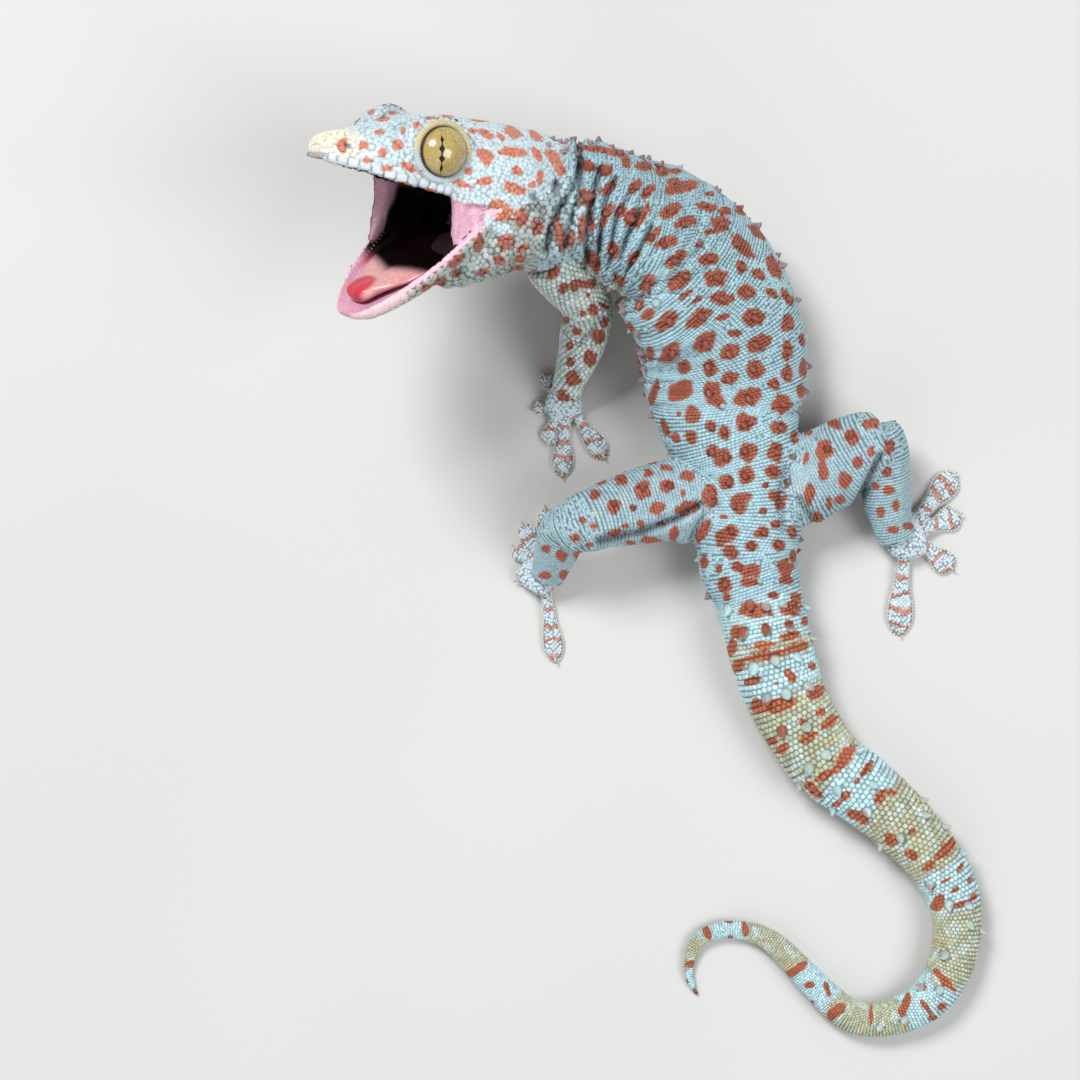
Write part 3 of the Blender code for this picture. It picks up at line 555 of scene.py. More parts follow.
    def half_ring(self, u: float, w: float, top: float, lip: float) -> list[tuple[float, float]]:
        """Half of a section of the upper head, from the crown round the lip to the roof of the mouth.

        Args:
            u: Distance behind the snout's tip.
            w: Half width there.
            top: Height of the crown there.
            lip: Height of the lip's edge there.

        Returns:
            Pairs of distance to the side and height, in mm.
        """
        roof = -2.0 + 3.0 * min(1.0, u / 12.0)
        back = min(1.0, max(0.0, (u - 31.0) / 6.0))
        half = []
        for k in range(22):
            a = math.radians(90 - 87.5 * k / 21)
            half.append((w * math.cos(a) ** 0.92, top * math.sin(a)))
        ledge = min(1.0, w / 5.0)
        half[-1] = (w - 0.15 * ledge, min(0.9, lip + 2.0 * ledge) if lip > -3.0 else 0.3)
        half.append((w - 0.35 * ledge, lip + 1.9 * ledge))
        half.append((w + 0.15 * ledge, lip + 1.3 * ledge))
        half.append((w + 0.05 * ledge, lip + 0.3 * ledge))
        half.append((w - 0.6 * ledge, lip))
        half.append((w - 1.5 * ledge, lip + 0.25 * ledge))
        inner = max(roof, lip + 0.5)
        inner = inner * (1 - back) + (lip - 1.0) * back
        half.append((min(w * 0.72, w - 2.0 * ledge), lip + 0.6 * ledge + (inner - lip - 0.6 * ledge) * 0.8))
        half.append((w * 0.36, inner + 0.25 * (1 - back) - 0.35 * back))
        half.append((0.0, inner + 0.4 * (1 - back) - 0.6 * back))
        return half

    @staticmethod
    def refine(ring: Array, inside: Array, parts: Sequence[int]) -> tuple[Array, Array]:
        """Divide each side of a closed ring into its number of parts.

        Args:
            ring: The ring's points.
            inside: Which of them lie in the mouth.
            parts: Parts of each side.

        Returns:
            The new points, and which of them lie in the mouth.
        """
        nxt = np.roll(ring, -1, axis=0)
        points = [ring[i] + (nxt[i] - ring[i]) * f for i, n in enumerate(parts) for f in np.arange(n) / n]
        return np.array(points), np.repeat(inside, parts)

    def head_wrap(self) -> Wrap:
        """Make the upper head.

        Returns:
            The closed tube.
        """
        base = np.array(self.rows)
        u = np.unique(np.concatenate([np.arange(0, 53.01, 0.5), base[:, 0]]))
        index = np.interp(u, base[:, 0], np.arange(len(base)))
        smooth = spline(base, index)
        lip = np.interp(u, base[:, 0], base[:, 3])
        far_u = [0.0] + [r[0] for r in base.tolist() if r[0] < 20.3] + [p[0] for p in self.far_lips]
        far_z = [-1.0] + [r[3] for r in base.tolist() if r[0] < 20.3] + [p[1] for p in self.far_lips]
        far_u += [r[0] for r in base.tolist() if r[0] > 31.5]
        far_z += [r[3] for r in base.tolist() if r[0] > 31.5]
        far = np.interp(u, far_u, far_z)
        rings, marks = [], []
        for k, at_u in enumerate(u):
            w, top = smooth[k, 1] - self.sink, smooth[k, 2] - self.sink
            near = self.half_ring(at_u, w, top, lip[k])
            other = self.half_ring(at_u, w, top, far[k])
            ring = near + [(-y, z) for y, z in reversed(other[1:-1])]
            order = list(range(len(near))) + list(reversed(range(1, len(near) - 1)))
            parts = [12 if 26 <= min(i, j) else 2 for i, j in zip(order, order[1:] + order[:1])]
            flat, mark = self.refine(np.array(ring), np.array([i > 25 for i in order]), parts)
            rings.append(self.world(np.column_stack([np.full(len(flat), -at_u), flat])))
            marks.append(mark)
        return Wrap("head", Part.HEAD, np.array(rings), np.array(marks))

    def jaw_wrap(self) -> Wrap:
        """Make the lower jaw.

        Returns:
            The closed tube.
        """
        base = np.array(self.jaw_rows)
        rows = spline(base, np.linspace(0, len(base) - 1, 70))
        rings, marks = [], []
        for v, w, depth, dish in rows:
            k = min(1.0, w / 4)
            half = [(0.0, -dish), (w * 0.45, -dish * 0.95), (w - 1.9 * k, -dish * 0.6), (w - 1.2 * k, -0.1),
                    (w - 0.5, 0.05), (w, -0.5), (w + 0.05, -1.4), (w - 0.3, -min(2.0, depth * 0.6))]
            start = min(2.0, depth * 0.6)
            for i in range(1, 13):
                a = math.radians(7.5 * i)
                y = (w - 0.3) * max(math.cos(a), 0.0) ** 0.85 if i < 12 else 0.0
                half.append((y, -start - (depth - start) * math.sin(a)))
            ring = half + [(-y, z) for y, z in reversed(half[1:-1])]
            order = list(range(len(half))) + list(reversed(range(1, len(half) - 1)))
            parts = [6 if max(i, j) < 4 else 2 for i, j in zip(order, order[1:] + order[:1])]
            flat, mark = self.refine(np.array(ring), np.array([i < 4 for i in order]), parts)
            rings.append(self.jaw_world(np.column_stack([np.full(len(flat), v), flat])))
            marks.append(mark)
        return Wrap("jaw", Part.JAW, np.array(rings), np.array(marks))

    def throat_wrap(self) -> Wrap:
        """Make the throat between the jaw and the neck.

        Returns:
            The closed tube.
        """
        base = np.array([(*at(*row[:3]), row[3], row[4]) for row in self.throat_rows])
        t = np.linspace(0, len(base) - 1, 60)
        rows = spline(base, t)
        along = unit(spline(base, t - 0.1)[:, :3] - spline(base, t + 0.1)[:, :3])
        left = self.basis[:, 1]
        left = unit(left - along * (along @ left)[:, None])
        up = np.cross(along, left)
        sizes = rows[:, 3] - self.sink, rows[:, 4] - self.sink
        return Wrap("throat", Part.THROAT, sweep(rows[:, :3], left, up, sizes, turns(48)))

    def eye_place(self, side: int) -> Array:
        """Centre of an eye."""
        x, y, z = self.eye_spot
        return self.world((x, side * y, z))

    def eye_basis(self, side: int) -> Array:
        """Directions to the front, up and out of an eye.

        Args:
            side: 1 for the left eye, -1 for the right.

        Returns:
            The three directions, as columns.
        """
        out = unit(self.basis @ np.array([0.10, side, 0.12]))
        fore = self.basis[:, 0] - out * (self.basis[:, 0] @ out)
        fore = unit(fore)
        return np.stack([fore, np.cross(out, fore), out], 1)

    def in_mouth(self, points: Array, part: Array) -> Array:
        """Which points of the throat and the jaw lie over the jaw's floor.

        Args:
            points: Points in mm.
            part: What each belongs to.

        Returns:
            A yes or no for each point.
        """
        v, y, z = self.jaw_local(points).T
        table = np.array(self.jaw_rows)[::-1]
        wide = np.interp(v, table[:, 0], table[:, 1])
        low = (part == Part.THROAT) | (part == Part.BODY)
        return low & (v > 0.5) & (v < 30) & (np.abs(y) < wide - 0.9) & (z > -3.4)

    def slit_basis(self, side: int) -> Array:
        """Directions across, along and out of the slit of an eye, the same on both sides of the head.

        Args:
            side: 1 for the left eye, -1 for the right.

        Returns:
            The three directions, as columns.
        """
        out = unit(self.eye_basis(1)[:, 2] + self.gaze * self.basis[:, 0])
        along = unit(np.array([0.0, 1.0, 0.0]) - out * out[1])
        lean = along @ self.basis
        out = unit(self.eye_basis(side)[:, 2] + self.gaze * self.basis[:, 0])
        along = self.basis @ np.array([lean[0], side * lean[1], lean[2]])
        along = unit(along - out * (along @ out))
        return np.stack([np.cross(along, out), along, out], 1)

    def lumps(self) -> list[Wrap]:
        """Make the brows, the eye rims and the nose.

        Returns:
            The closed tubes.
        """
        made = []
        for side in (1, -1):
            for name, ((x, y, z), radii) in (("brow", self.brow), ("nose", self.nose)):
                made.append(ellipsoid(name, self.world((x, side * y, z)), radii, self.basis))
            basis = self.eye_basis(side)
            made.append(hoop("rim", self.eye_place(side) + basis[:, 2] * 1.35, basis, *self.rim))
        return made


def ellipsoid(name: str, centre: Array, radii: tuple[float, float, float], basis: Array) -> Wrap:
    """Make an egg shape as a tube whose rings close at both ends.

    Args:
        name: What it is.
        centre: Its middle in mm.
        radii: Its half sizes in mm.
        basis: Its directions, as columns.

    Returns:
        The closed tube.
    """
    a = np.linspace(0.04, math.pi - 0.04, 24)
    w = turns(32)
    ball = np.stack([np.cos(a)[:, None] * np.ones(32), np.sin(a)[:, None] * np.cos(w),
                     np.sin(a)[:, None] * np.sin(w)], -1)
    return Wrap(name, Part.HEAD, centre + (ball * np.array(radii)) @ basis.T)


def hoop(name: str, centre: Array, basis: Array, radius: float, tube: float) -> Wrap:
    """Make a ring-shaped ridge in the first two directions of a basis.

    Args:
        name: What it is.
        centre: Its middle in mm.
        basis: Its directions, as columns.
        radius: From the middle to the ridge, in mm.
        tube: Half thickness of the ridge in mm.

    Returns:
        The closed tube.
    """
    a = np.arange(65) * 2 * math.pi / 64
    w = turns(14)
    r = radius + tube * np.cos(w)
    lift = np.ones(65)[:, None] * tube * np.sin(w)
    ring = np.stack([np.cos(a)[:, None] * r, np.sin(a)[:, None] * r, lift], -1)
    return Wrap(name, Part.HEAD, centre + ring @ basis.T)


@dataclass
class Leg:
    """One leg with its foot and toes, as tubes.

    Args:
        name: Which leg it is.
        upper: Drawing x and y, height and half widths down the upper leg.
        lower: The same down the lower leg.
        foot: The same along the foot.
        toes: Root, tip and half width of the pad of each toe.
        sink: How far the skin lies inside the solids, in mm.
    """

    name: str
    upper: Sequence[tuple[float, ...]]
    lower: Sequence[tuple[float, ...]]
    foot: Sequence[tuple[float, ...]]
    toes: Sequence[tuple[tuple[float, float], tuple[float, float], float]]
    sink: float = 0.2

    @property
    def part(self) -> Part:
        """Arm or leg."""
        return Part.ARM if self.name.startswith("arm") else Part.LEG

    def tube(self, name: str, part: Part, points: Sequence[tuple[float, ...]], steps: int) -> Wrap:
        """Make one tube along a smooth path with level sides.

        Args:
            name: What it is.
            part: What it belongs to.
            points: Drawing x and y, height and half widths.
            steps: How many rings it has.

        Returns:
            The closed tube.
        """
        rows = np.array([(*at(*p[:3]), *p[3:]) for p in points])
        t = np.linspace(0, len(rows) - 1, steps)
        row = spline(rows, t)
        along = unit(spline(rows, t + 0.05)[:, :3] - spline(rows, t - 0.05)[:, :3])
        side = unit(np.cross(along, [0.0, 0.0, 1.0]))
        rise = unit(np.cross(side, along))
        sizes = row[:, 3] - self.sink, row[:, 4] - self.sink
        return Wrap(name, part, sweep(row[:, :3], side, rise, sizes, turns(48)))

    def toe(self, name: str, root: tuple[float, float], tip: tuple[float, float], pad: float) -> Wrap:
        """Make one toe, a slim shaft that widens to a flat pad.

        Args:
            name: What it is.
            root: Drawing x and y of its root.
            tip: Drawing x and y of its tip.
            pad: Half width of its pad in mm.

        Returns:
            The closed tube.
        """
        a, b = at(*root, 1.6), at(*tip, 1.0)
        along = unit(b - a)
        level = np.array([along[0], along[1], 0.0])
        side = unit(np.cross(along, [0.0, 0.0, 1.0]))
        rise = np.cross(side, along)
        reach = float(np.linalg.norm(b - a)) - 0.9
        profile = np.array([(-0.12, 0.56, 1.4, 1.9), (0.0, 0.6, 1.4, 1.75), (0.2, 0.56, 1.3, 1.55),
                            (0.42, 0.6, 1.15, 1.3), (0.56, 0.8, 1.05, 1.1), (0.7, 1.0, 0.95, 0.98),
                            (0.82, 1.04, 0.85, 0.9), (0.92, 0.86, 0.75, 0.8), (1.0, 0.5, 0.55, 0.65),
                            (1.03, 0.2, 0.3, 0.6)])
        rows = spline(profile, np.linspace(0, len(profile) - 1, 40))
        w = turns(32)
        grid = []
        for f, wide, high, z in rows:
            centre = np.array([a[0], a[1], z * 0.84]) + level * reach * f
            c, s = np.cos(w), np.sin(w)
            c = np.sign(c) * np.abs(c) ** 0.8
            grid.append(centre + side * (pad * wide * c)[:, None] + rise * (high * s)[:, None])
        return Wrap(name, Part.TOE, np.array(grid))

    def wraps(self) -> list[Wrap]:
        """Make every tube of the leg.

        Returns:
            The closed tubes of both parts, the foot and the toes.
        """
        made = [self.tube(self.name + "_upper", self.part, self.upper, 60),
                self.tube(self.name + "_lower", self.part, self.lower, 60),
                self.tube(self.name + "_foot", Part.FOOT, self.foot, 30)]
        made += [self.toe("%s_toe_%d" % (self.name, i), *toe) for i, toe in enumerate(self.toes, 1)]
        return made


LEGS = (
    Leg("arm_left",
        ((548, 256, 35, 5.6, 5.6), (560, 272, 32, 5.6, 5.6), (573, 287, 28.5, 5.3, 5.5),
         (585, 301, 24.5, 5.1, 5.3), (588, 316, 20.5, 5.0, 5.0), (585, 330, 17.5, 4.2, 4.2)),
        ((590, 306, 21.8, 4.4, 4.4), (587, 322, 18.6, 4.9, 4.8), (583, 340, 15.0, 4.8, 4.5),
         (577, 360, 11.0, 4.1, 3.8), (570, 378, 7.6, 3.3, 3.0), (566, 393, 5.0, 3.1, 2.4)),
        ((568, 388, 4.2, 3.1, 2.3), (565, 398, 3.0, 3.8, 2.3),
         (564, 408, 2.2, 4.2, 2.1), (564, 415, 1.7, 3.4, 1.7)),
        (((556, 401), (531, 410), 1.5), ((557, 397), (541, 370), 1.7), ((558, 411), (546, 447), 1.9),
         ((565, 414), (562, 479), 2.15), ((572, 408), (606, 460), 2.15))),
    Leg("arm_right",
        ((628, 196, 21, 5.4, 5.4), (646, 192, 18, 5.3, 5.3), (666, 194, 14, 5.0, 5.0),
         (684, 204, 10, 4.6, 4.6), (690, 214, 7.6, 4.2, 4.2)),
        ((694, 206, 9.0, 4.0, 4.0), (690, 220, 7.4, 4.4, 4.2), (680, 236, 5.8, 4.2, 3.8),
         (668, 250, 4.4, 3.5, 3.0), (658, 260, 3.5, 3.2, 2.4)),
        ((661, 257, 3.1, 3.0, 2.2), (652, 262, 2.6, 3.7, 2.2),
         (643, 267, 2.05, 4.1, 2.0), (636, 268, 1.7, 3.4, 1.7)),
        (((648, 257), (640, 216), 1.6), ((641, 260), (606, 228), 1.8), ((636, 268), (596, 262), 1.9),
         ((640, 275), (622, 300), 1.9), ((650, 272), (676, 306), 1.8))),
    Leg("leg_left",
        ((716, 500, 9.0, 9.6, 7.0), (690, 499, 10.0, 9.3, 7.2), (660, 502, 12.0, 8.4, 7.2),
         (630, 508, 14.5, 7.5, 7.0), (602, 516, 16.8, 6.6, 6.4), (580, 524, 17.6, 6.0, 5.8),
         (565, 532, 15.6, 5.0, 5.0)),
        ((583, 520, 17.0, 4.6, 4.6), (568, 527, 15.4, 5.2, 5.0), (560, 539, 12.6, 5.0, 4.8),
         (556, 552, 9.6, 4.6, 4.2), (551, 566, 6.6, 4.0, 3.5), (547, 578, 4.4, 3.4, 2.8)),
        ((553, 582, 3.6, 3.4, 2.5), (545, 577, 2.9, 4.2, 2.5),
         (537, 568, 2.3, 4.8, 2.2), (532, 560, 1.7, 3.8, 1.7)),
        (((548, 568), (545, 505), 1.8), ((540, 563), (522, 522), 1.9), ((535, 565), (512, 545), 1.9),
         ((535, 572), (514, 582), 1.9), ((545, 586), (556, 664), 2.0))),
    Leg("leg_right",
        ((778, 484, 9.0, 9.6, 7.0), (806, 478, 9.6, 9.4, 7.2), (830, 466, 10.8, 8.6, 7.2),
         (852, 452, 12.4, 7.8, 6.8), (870, 442, 13.4, 6.8, 6.2), (882, 436, 13.2, 5.2, 5.4)),
        ((876, 430, 13.0, 4.6, 4.8), (882, 446, 12.2, 5.3, 5.2), (884, 468, 10.4, 5.4, 5.0),
         (886, 494, 8.0, 5.2, 4.6), (891, 520, 5.6, 4.4, 3.8), (896, 540, 4.0, 3.7, 2.9)),
        ((893, 534, 3.6, 3.7, 2.7), (903, 537, 2.8, 4.8, 2.5),
         (913, 533, 2.2, 5.2, 2.2), (919, 530, 1.7, 4.2, 1.7)),
        (((904, 524), (899, 478), 1.8), ((915, 521), (957, 472), 2.6), ((922, 530), (963, 513), 2.5),
         ((918, 541), (955, 571), 2.5), ((904, 546), (899, 637), 2.6))),
)


# The skin

@dataclass
class Fold:
    """A crease in the skin: a bent line on the drawing, its depth and width in mm."""

    line: Sequence[tuple[float, float]]
    depth: float
    width: float


FOLDS = (
    Fold(((579, 140), (580, 160), (573, 188), (560, 208), (550, 228), (546, 250)), 1.1, 0.75),
    Fold(((600, 168), (592, 200), (588, 232), (586, 262)), 0.9, 0.7),
    Fold(((616, 178), (604, 205), (600, 235), (598, 264)), 0.8, 0.65),
    Fold(((581, 160), (580, 190), (572, 215), (566, 245)), 0.8, 0.7),
    Fold(((632, 190), (618, 215), (612, 240), (608, 270)), 0.7, 0.6),
    Fold(((640, 210), (628, 235), (620, 256), (613, 280)), 0.6, 0.6),
    Fold(((652, 226), (640, 250), (628, 270), (618, 288)), 0.5, 0.55),
    Fold(((533, 196), (545, 216), (538, 232)), 0.6, 0.7),
    Fold(((470, 208), (486, 209), (497, 211)), 0.5, 0.6),
    Fold(((600, 541), (640, 532), (676, 519), (700, 505)), 0.9, 0.9),
    Fold(((858, 502), (868, 480), (881, 456)), 0.9, 0.8),
    Fold(((800, 500), (812, 520), (818, 545)), 0.6, 0.8),
    Fold(((690, 540), (700, 520), (715, 505)), 0.5, 0.8),
    Fold(((786, 470), (780, 500), (784, 530)), 0.5, 0.9),
    Fold(((577, 345), (590, 333), (600, 318)), 0.35, 0.7),
)


@dataclass
class Surface:
    """The one skin that joins every tube, and what is known of each place on it.

    Args:
        skull: The head's shapes.
        trunk: The body's shapes.
        voxel: Fineness of the joined skin in mm.
        reach: How far a point of a tube may lie from the skin to tell what the skin is there.
        clearance: Least height of the skin over the floor.
    """

    skull: Skull
    trunk: Trunk
    voxel: float = 0.42
    reach: float = 1.1
    clearance: float = 0.06

    def build(self) -> None:
        """Join the tubes, smooth and fold the skin, and map it."""
        skull = self.skull
        self.wraps = [self.trunk.wrap(), skull.head_wrap(), skull.jaw_wrap(), skull.throat_wrap()]
        for leg in LEGS:
            self.wraps += leg.wraps()
        self.points, self.quads = self.fuse(self.wraps + skull.lumps())
        self.edges = self.all_edges()
        self.smooth(9)
        self.clear_mouth()
        self.clear_eyes()
        self.clear_pits()
        self.smooth(2)
        self.map_points()
        self.crease()
        self.smooth(1)
        self.points[:, 2] = np.maximum(self.points[:, 2], self.clearance)
        self.normals = self.vertex_normals()
        self.tree = BVHTree.FromPolygons(self.points.tolist(), self.quads.tolist())

    def fuse(self, wraps: Iterable[Wrap]) -> tuple[Array, Array]:
        """Join closed tubes into one even mesh of quads.

        Args:
            wraps: The tubes.

        Returns:
            The points in mm and the quads.
        """
        points, faces, start = [], [], 0
        for wrap in wraps:
            p, f = wrap.mesh()
            points.append(p)
            faces.append(f + start)
            start += len(p)
        mesh = bpy.data.meshes.new("tubes")
        fill_mesh(mesh, np.concatenate(points), np.concatenate(faces))
        obj = link("tubes", mesh)
        mod = obj.modifiers.new("fuse", "REMESH")
        mod.mode = "VOXEL"
        mod.voxel_size = self.voxel
        mod.adaptivity = 0.0
        done = obj.evaluated_get(bpy.context.evaluated_depsgraph_get()).to_mesh()
        co = np.empty(len(done.vertices) * 3)
        done.vertices.foreach_get("co", co)
        corner = np.empty(len(done.loops), int)
        done.loops.foreach_get("vertex_index", corner)
        quads = corner.reshape(-1, 4)
        obj.to_mesh_clear()
        bpy.data.objects.remove(obj)
        bpy.data.meshes.remove(mesh)
        return co.reshape(-1, 3), quads

    def all_edges(self) -> Array:
        """Pairs of points that share an edge.

        Returns:
            Rows of two point numbers.
        """
        q = self.quads
        pairs = np.concatenate([q[:, [0, 1]], q[:, [1, 2]], q[:, [2, 3]], q[:, [3, 0]]])
        return np.unique(np.sort(pairs, axis=1), axis=0)

    def neighbour_mean(self, values: Array) -> Array:
        """Mean of the values at the points next to each point.

        Args:
            values: A row for each point.

        Returns:
            A row for each point.
        """
        a, b = self.edges.T
        n = len(self.points)
        count = np.bincount(a, minlength=n) + np.bincount(b, minlength=n)
        out = np.empty_like(values)
        for k in range(values.shape[1]):
            total = np.bincount(a, values[b, k], n) + np.bincount(b, values[a, k], n)
            out[:, k] = total / np.maximum(count, 1)
        return out

    def smooth(self, rounds: int) -> None:
        """Smooth the skin without shrinking it.

        Args:
            rounds: How many times.
        """
        for _ in range(rounds):
            for step in (0.6, -0.52):
                self.points += (self.neighbour_mean(self.points) - self.points) * step

    def vertex_normals(self) -> Array:
        """Outward direction at each point.

        Returns:
            Rows of unit length.
        """
        p = self.points[self.quads]
        face = np.cross(p[:, 2] - p[:, 0], p[:, 3] - p[:, 1])
        out = np.zeros_like(self.points)
        for k in range(3):
            for c in range(4):
                out[:, k] += np.bincount(self.quads[:, c], face[:, k], len(self.points))
        return unit(out)

    def clear_mouth(self) -> None:
        """Push the back of the mouth in, so that it is deep."""
        local = self.skull.local(self.points)
        centre, radii = np.array([-31.0, 0.0, -5.5]), np.array([8.5, 10.0, 6.0])
        off = (local - centre) / radii
        far = np.linalg.norm(off, axis=1)
        hit = far < 1.0
        local[hit] = centre + off[hit] / np.maximum(far[hit], 1e-3)[:, None] * radii
        self.points[hit] = self.skull.world(local[hit])

    def clear_eyes(self) -> None:
        """Sink the skin under the eyeballs, inside the rims."""
        for side in (1, -1):
            centre, basis = self.skull.eye_place(side), self.skull.eye_basis(side)
            local = (self.points - centre) @ basis
            off = np.linalg.norm(local[:, :2], axis=1)
            hit = (off < 4.9) & (local[:, 2] > -2.0)
            under = np.sqrt(np.maximum(self.skull.eye_radius ** 2 - off ** 2, 0.0)) - 0.55
            local[:, 2] = np.where(hit, np.minimum(local[:, 2], under), local[:, 2])
            self.points[hit] = (centre + local @ basis.T)[hit]

    def clear_pits(self) -> None:
        """Press in the ears and the nostrils."""
        for place, radii, depth in self.skull.pits:
            local = self.skull.local(self.points)
            for side in (1, -1):
                centre = np.array([place[0], side * place[1], place[2]])
                off = (local - centre) / np.array([radii[0], 3.0, radii[1]])
                near = np.hypot(off[:, 0], off[:, 2])
                hit = (near < 1.0) & (np.abs(off[:, 1]) < 1.0)
                local[hit, 1] -= side * depth * (1 - near[hit] ** 2)
            self.points = self.skull.world(local)

    def map_points(self) -> None:
        """Find what each point of the skin belongs to."""
        rows = []
        for index, wrap in enumerate(self.wraps):
            m, n = wrap.grid.shape[:2]
            s = np.repeat(wrap.along, n)
            angle = np.tile(turns(n), m)
            part = np.full(m * n, int(wrap.part))
            if wrap.name == "trunk":
                part[s > self.trunk.tail_s] = int(Part.TAIL)
            rows.append((wrap.grid.reshape(-1, 3), part, s, angle, wrap.inside.reshape(-1),
                         wrap.tangent.reshape(-1, 3), np.full(m * n, index)))
        columns = [np.concatenate(c) for c in zip(*rows)]
        skin = KDTree(len(self.points))
        for i, p in enumerate(self.points):
            skin.insert(p, i)
        skin.balance()
        near = np.array([skin.find(p)[2] for p in columns[0]])
        keep = near < self.reach
        columns[4] = columns[4] | self.skull.in_mouth(columns[0], columns[1])
        self.samples = [c[keep] for c in columns]
        self.lookup = KDTree(int(keep.sum()))
        for i, p in enumerate(self.samples[0]):
            self.lookup.insert(p, i)
        self.lookup.balance()
        self.known = self.knowledge(self.points)

    def knowledge(self, points: Array) -> "Knowledge":
        """What is known of places on the skin.

        Args:
            points: Places on the skin in mm.

        Returns:
            What is known of them.
        """
        index = np.array([self.lookup.find(p)[1] for p in points], int)
        base, part, s, angle, inside, tangent, wrap = (c[index] for c in self.samples)
        s = s + ((points - base) * tangent).sum(1)
        return Knowledge(points, part, s, angle, inside, tangent, wrap)

    def relief(self, know: "Knowledge", up: Array) -> Array:
        """How far folds and wrinkles lift or press the skin, in mm.

        Args:
            know: The places.
            up: Height of the outward direction there, -1 to 1.

        Returns:
            One number for each place, below 0 in a groove.
        """
        points = know.points
        flat = on_drawing(points)
        lift = np.zeros(len(points))
        facing = ramp(up, -0.35, 0.1)
        for fold in FOLDS:
            far = edge_distance(flat, fold.line) / UNITS
            groove = -fold.depth * np.exp(-(far / fold.width) ** 2)
            lip = 0.35 * fold.depth * np.exp(-((far - 2.1 * fold.width) / fold.width) ** 2)
            lift += (groove + lip) * facing
        body = (know.part == Part.BODY) | (know.part == Part.THROAT)
        around = flat - np.array([612.0, 296.0])
        reach, turn = np.linalg.norm(around, axis=1), np.arctan2(around[:, 1], around[:, 0])
        fan = ramp(reach, 8, 26) * (1 - ramp(reach, 60, 135))
        fan = fan * ramp(up, -0.5, 0.0) * ramp(-around[:, 1], -20, 10)
        wave = np.abs(np.sin(turn * 12 + 0.6 * ripple(points, 7.0)))
        lift += np.where(body, fan * (0.55 * np.sqrt(wave) - 0.40), 0.0)
        wrinkle = np.sin(know.s * 2 * math.pi / 3.1 + 1.5 * ripple(points, 6.0))
        neck = body & (know.s < 42)
        lift += np.where(neck, 0.16 * wrinkle * (1 - ramp(know.s, 26, 42)), 0.0)
        flank = np.abs(np.cos(know.angle)) ** 3 * body
        lift += 0.14 * flank * np.sin(know.s * 2 * math.pi / 4.2 + 2.0 * ripple(points, 5.0))
        limbs = (know.part == Part.ARM) | (know.part == Part.LEG)
        lift += np.where(limbs, 0.12 * ripple(points, 2.6), 0.0)
        for side in (1, -1):
            local = (points - self.skull.eye_place(side)) @ self.skull.eye_basis(side)
            off = np.linalg.norm(local[:, :2], axis=1)
            front = ramp(local[:, 0], -4.0, 2.5) * (np.abs(local[:, 2]) < 5) * (know.part == Part.HEAD)
            ridge, inner, outer = (np.exp(-((off - far) / wide) ** 2)
                                   for far, wide in ((7.1, 0.45), (6.4, 0.4), (7.9, 0.4)))
            lift += front * (0.30 * ridge - 0.30 * inner - 0.16 * outer)
        return np.where(know.inside, 0.06 * ripple(points, 1.6), lift)

    def crease(self) -> None:
        """Press the folds and the fine wrinkles into the skin."""
        normals = self.vertex_normals()
        self.points += normals * self.relief(self.known, normals[:, 2])[:, None]


KNOWN = ("part", "s", "angle", "inside", "tangent", "wrap")


@dataclass
class Knowledge:
    """What is known of places on the skin: part, distance along it, angle round it, and direction along."""

    points: Array
    part: Array
    s: Array
    angle: Array
    inside: Array
    tangent: Array
    wrap: Array

    def some(self, keep: Array) -> "Knowledge":
        """Keep only some of the places."""
        return Knowledge(*(getattr(self, n)[keep] for n in ("points", *KNOWN)))

    @staticmethod
    def joined(parts: Sequence["Knowledge"]) -> "Knowledge":
        """Join several lists of places."""
        return Knowledge(*(np.concatenate([getattr(p, n) for p in parts]) for n in ("points", *KNOWN)))

    def spread(self, each: int, points: Array) -> "Knowledge":
        """Give every place several points of its own."""
        return Knowledge(points, *(np.repeat(getattr(self, n), each, axis=0) for n in KNOWN))


# Colours

@dataclass(frozen=True)
class Blotch:
    """A rust blotch: drawing x and y, half width and half height, turn in degrees, and how orange it is."""

    x: float
    y: float
    wide: float
    high: float
    turn: float = 0.0
    orange: float = 0.4


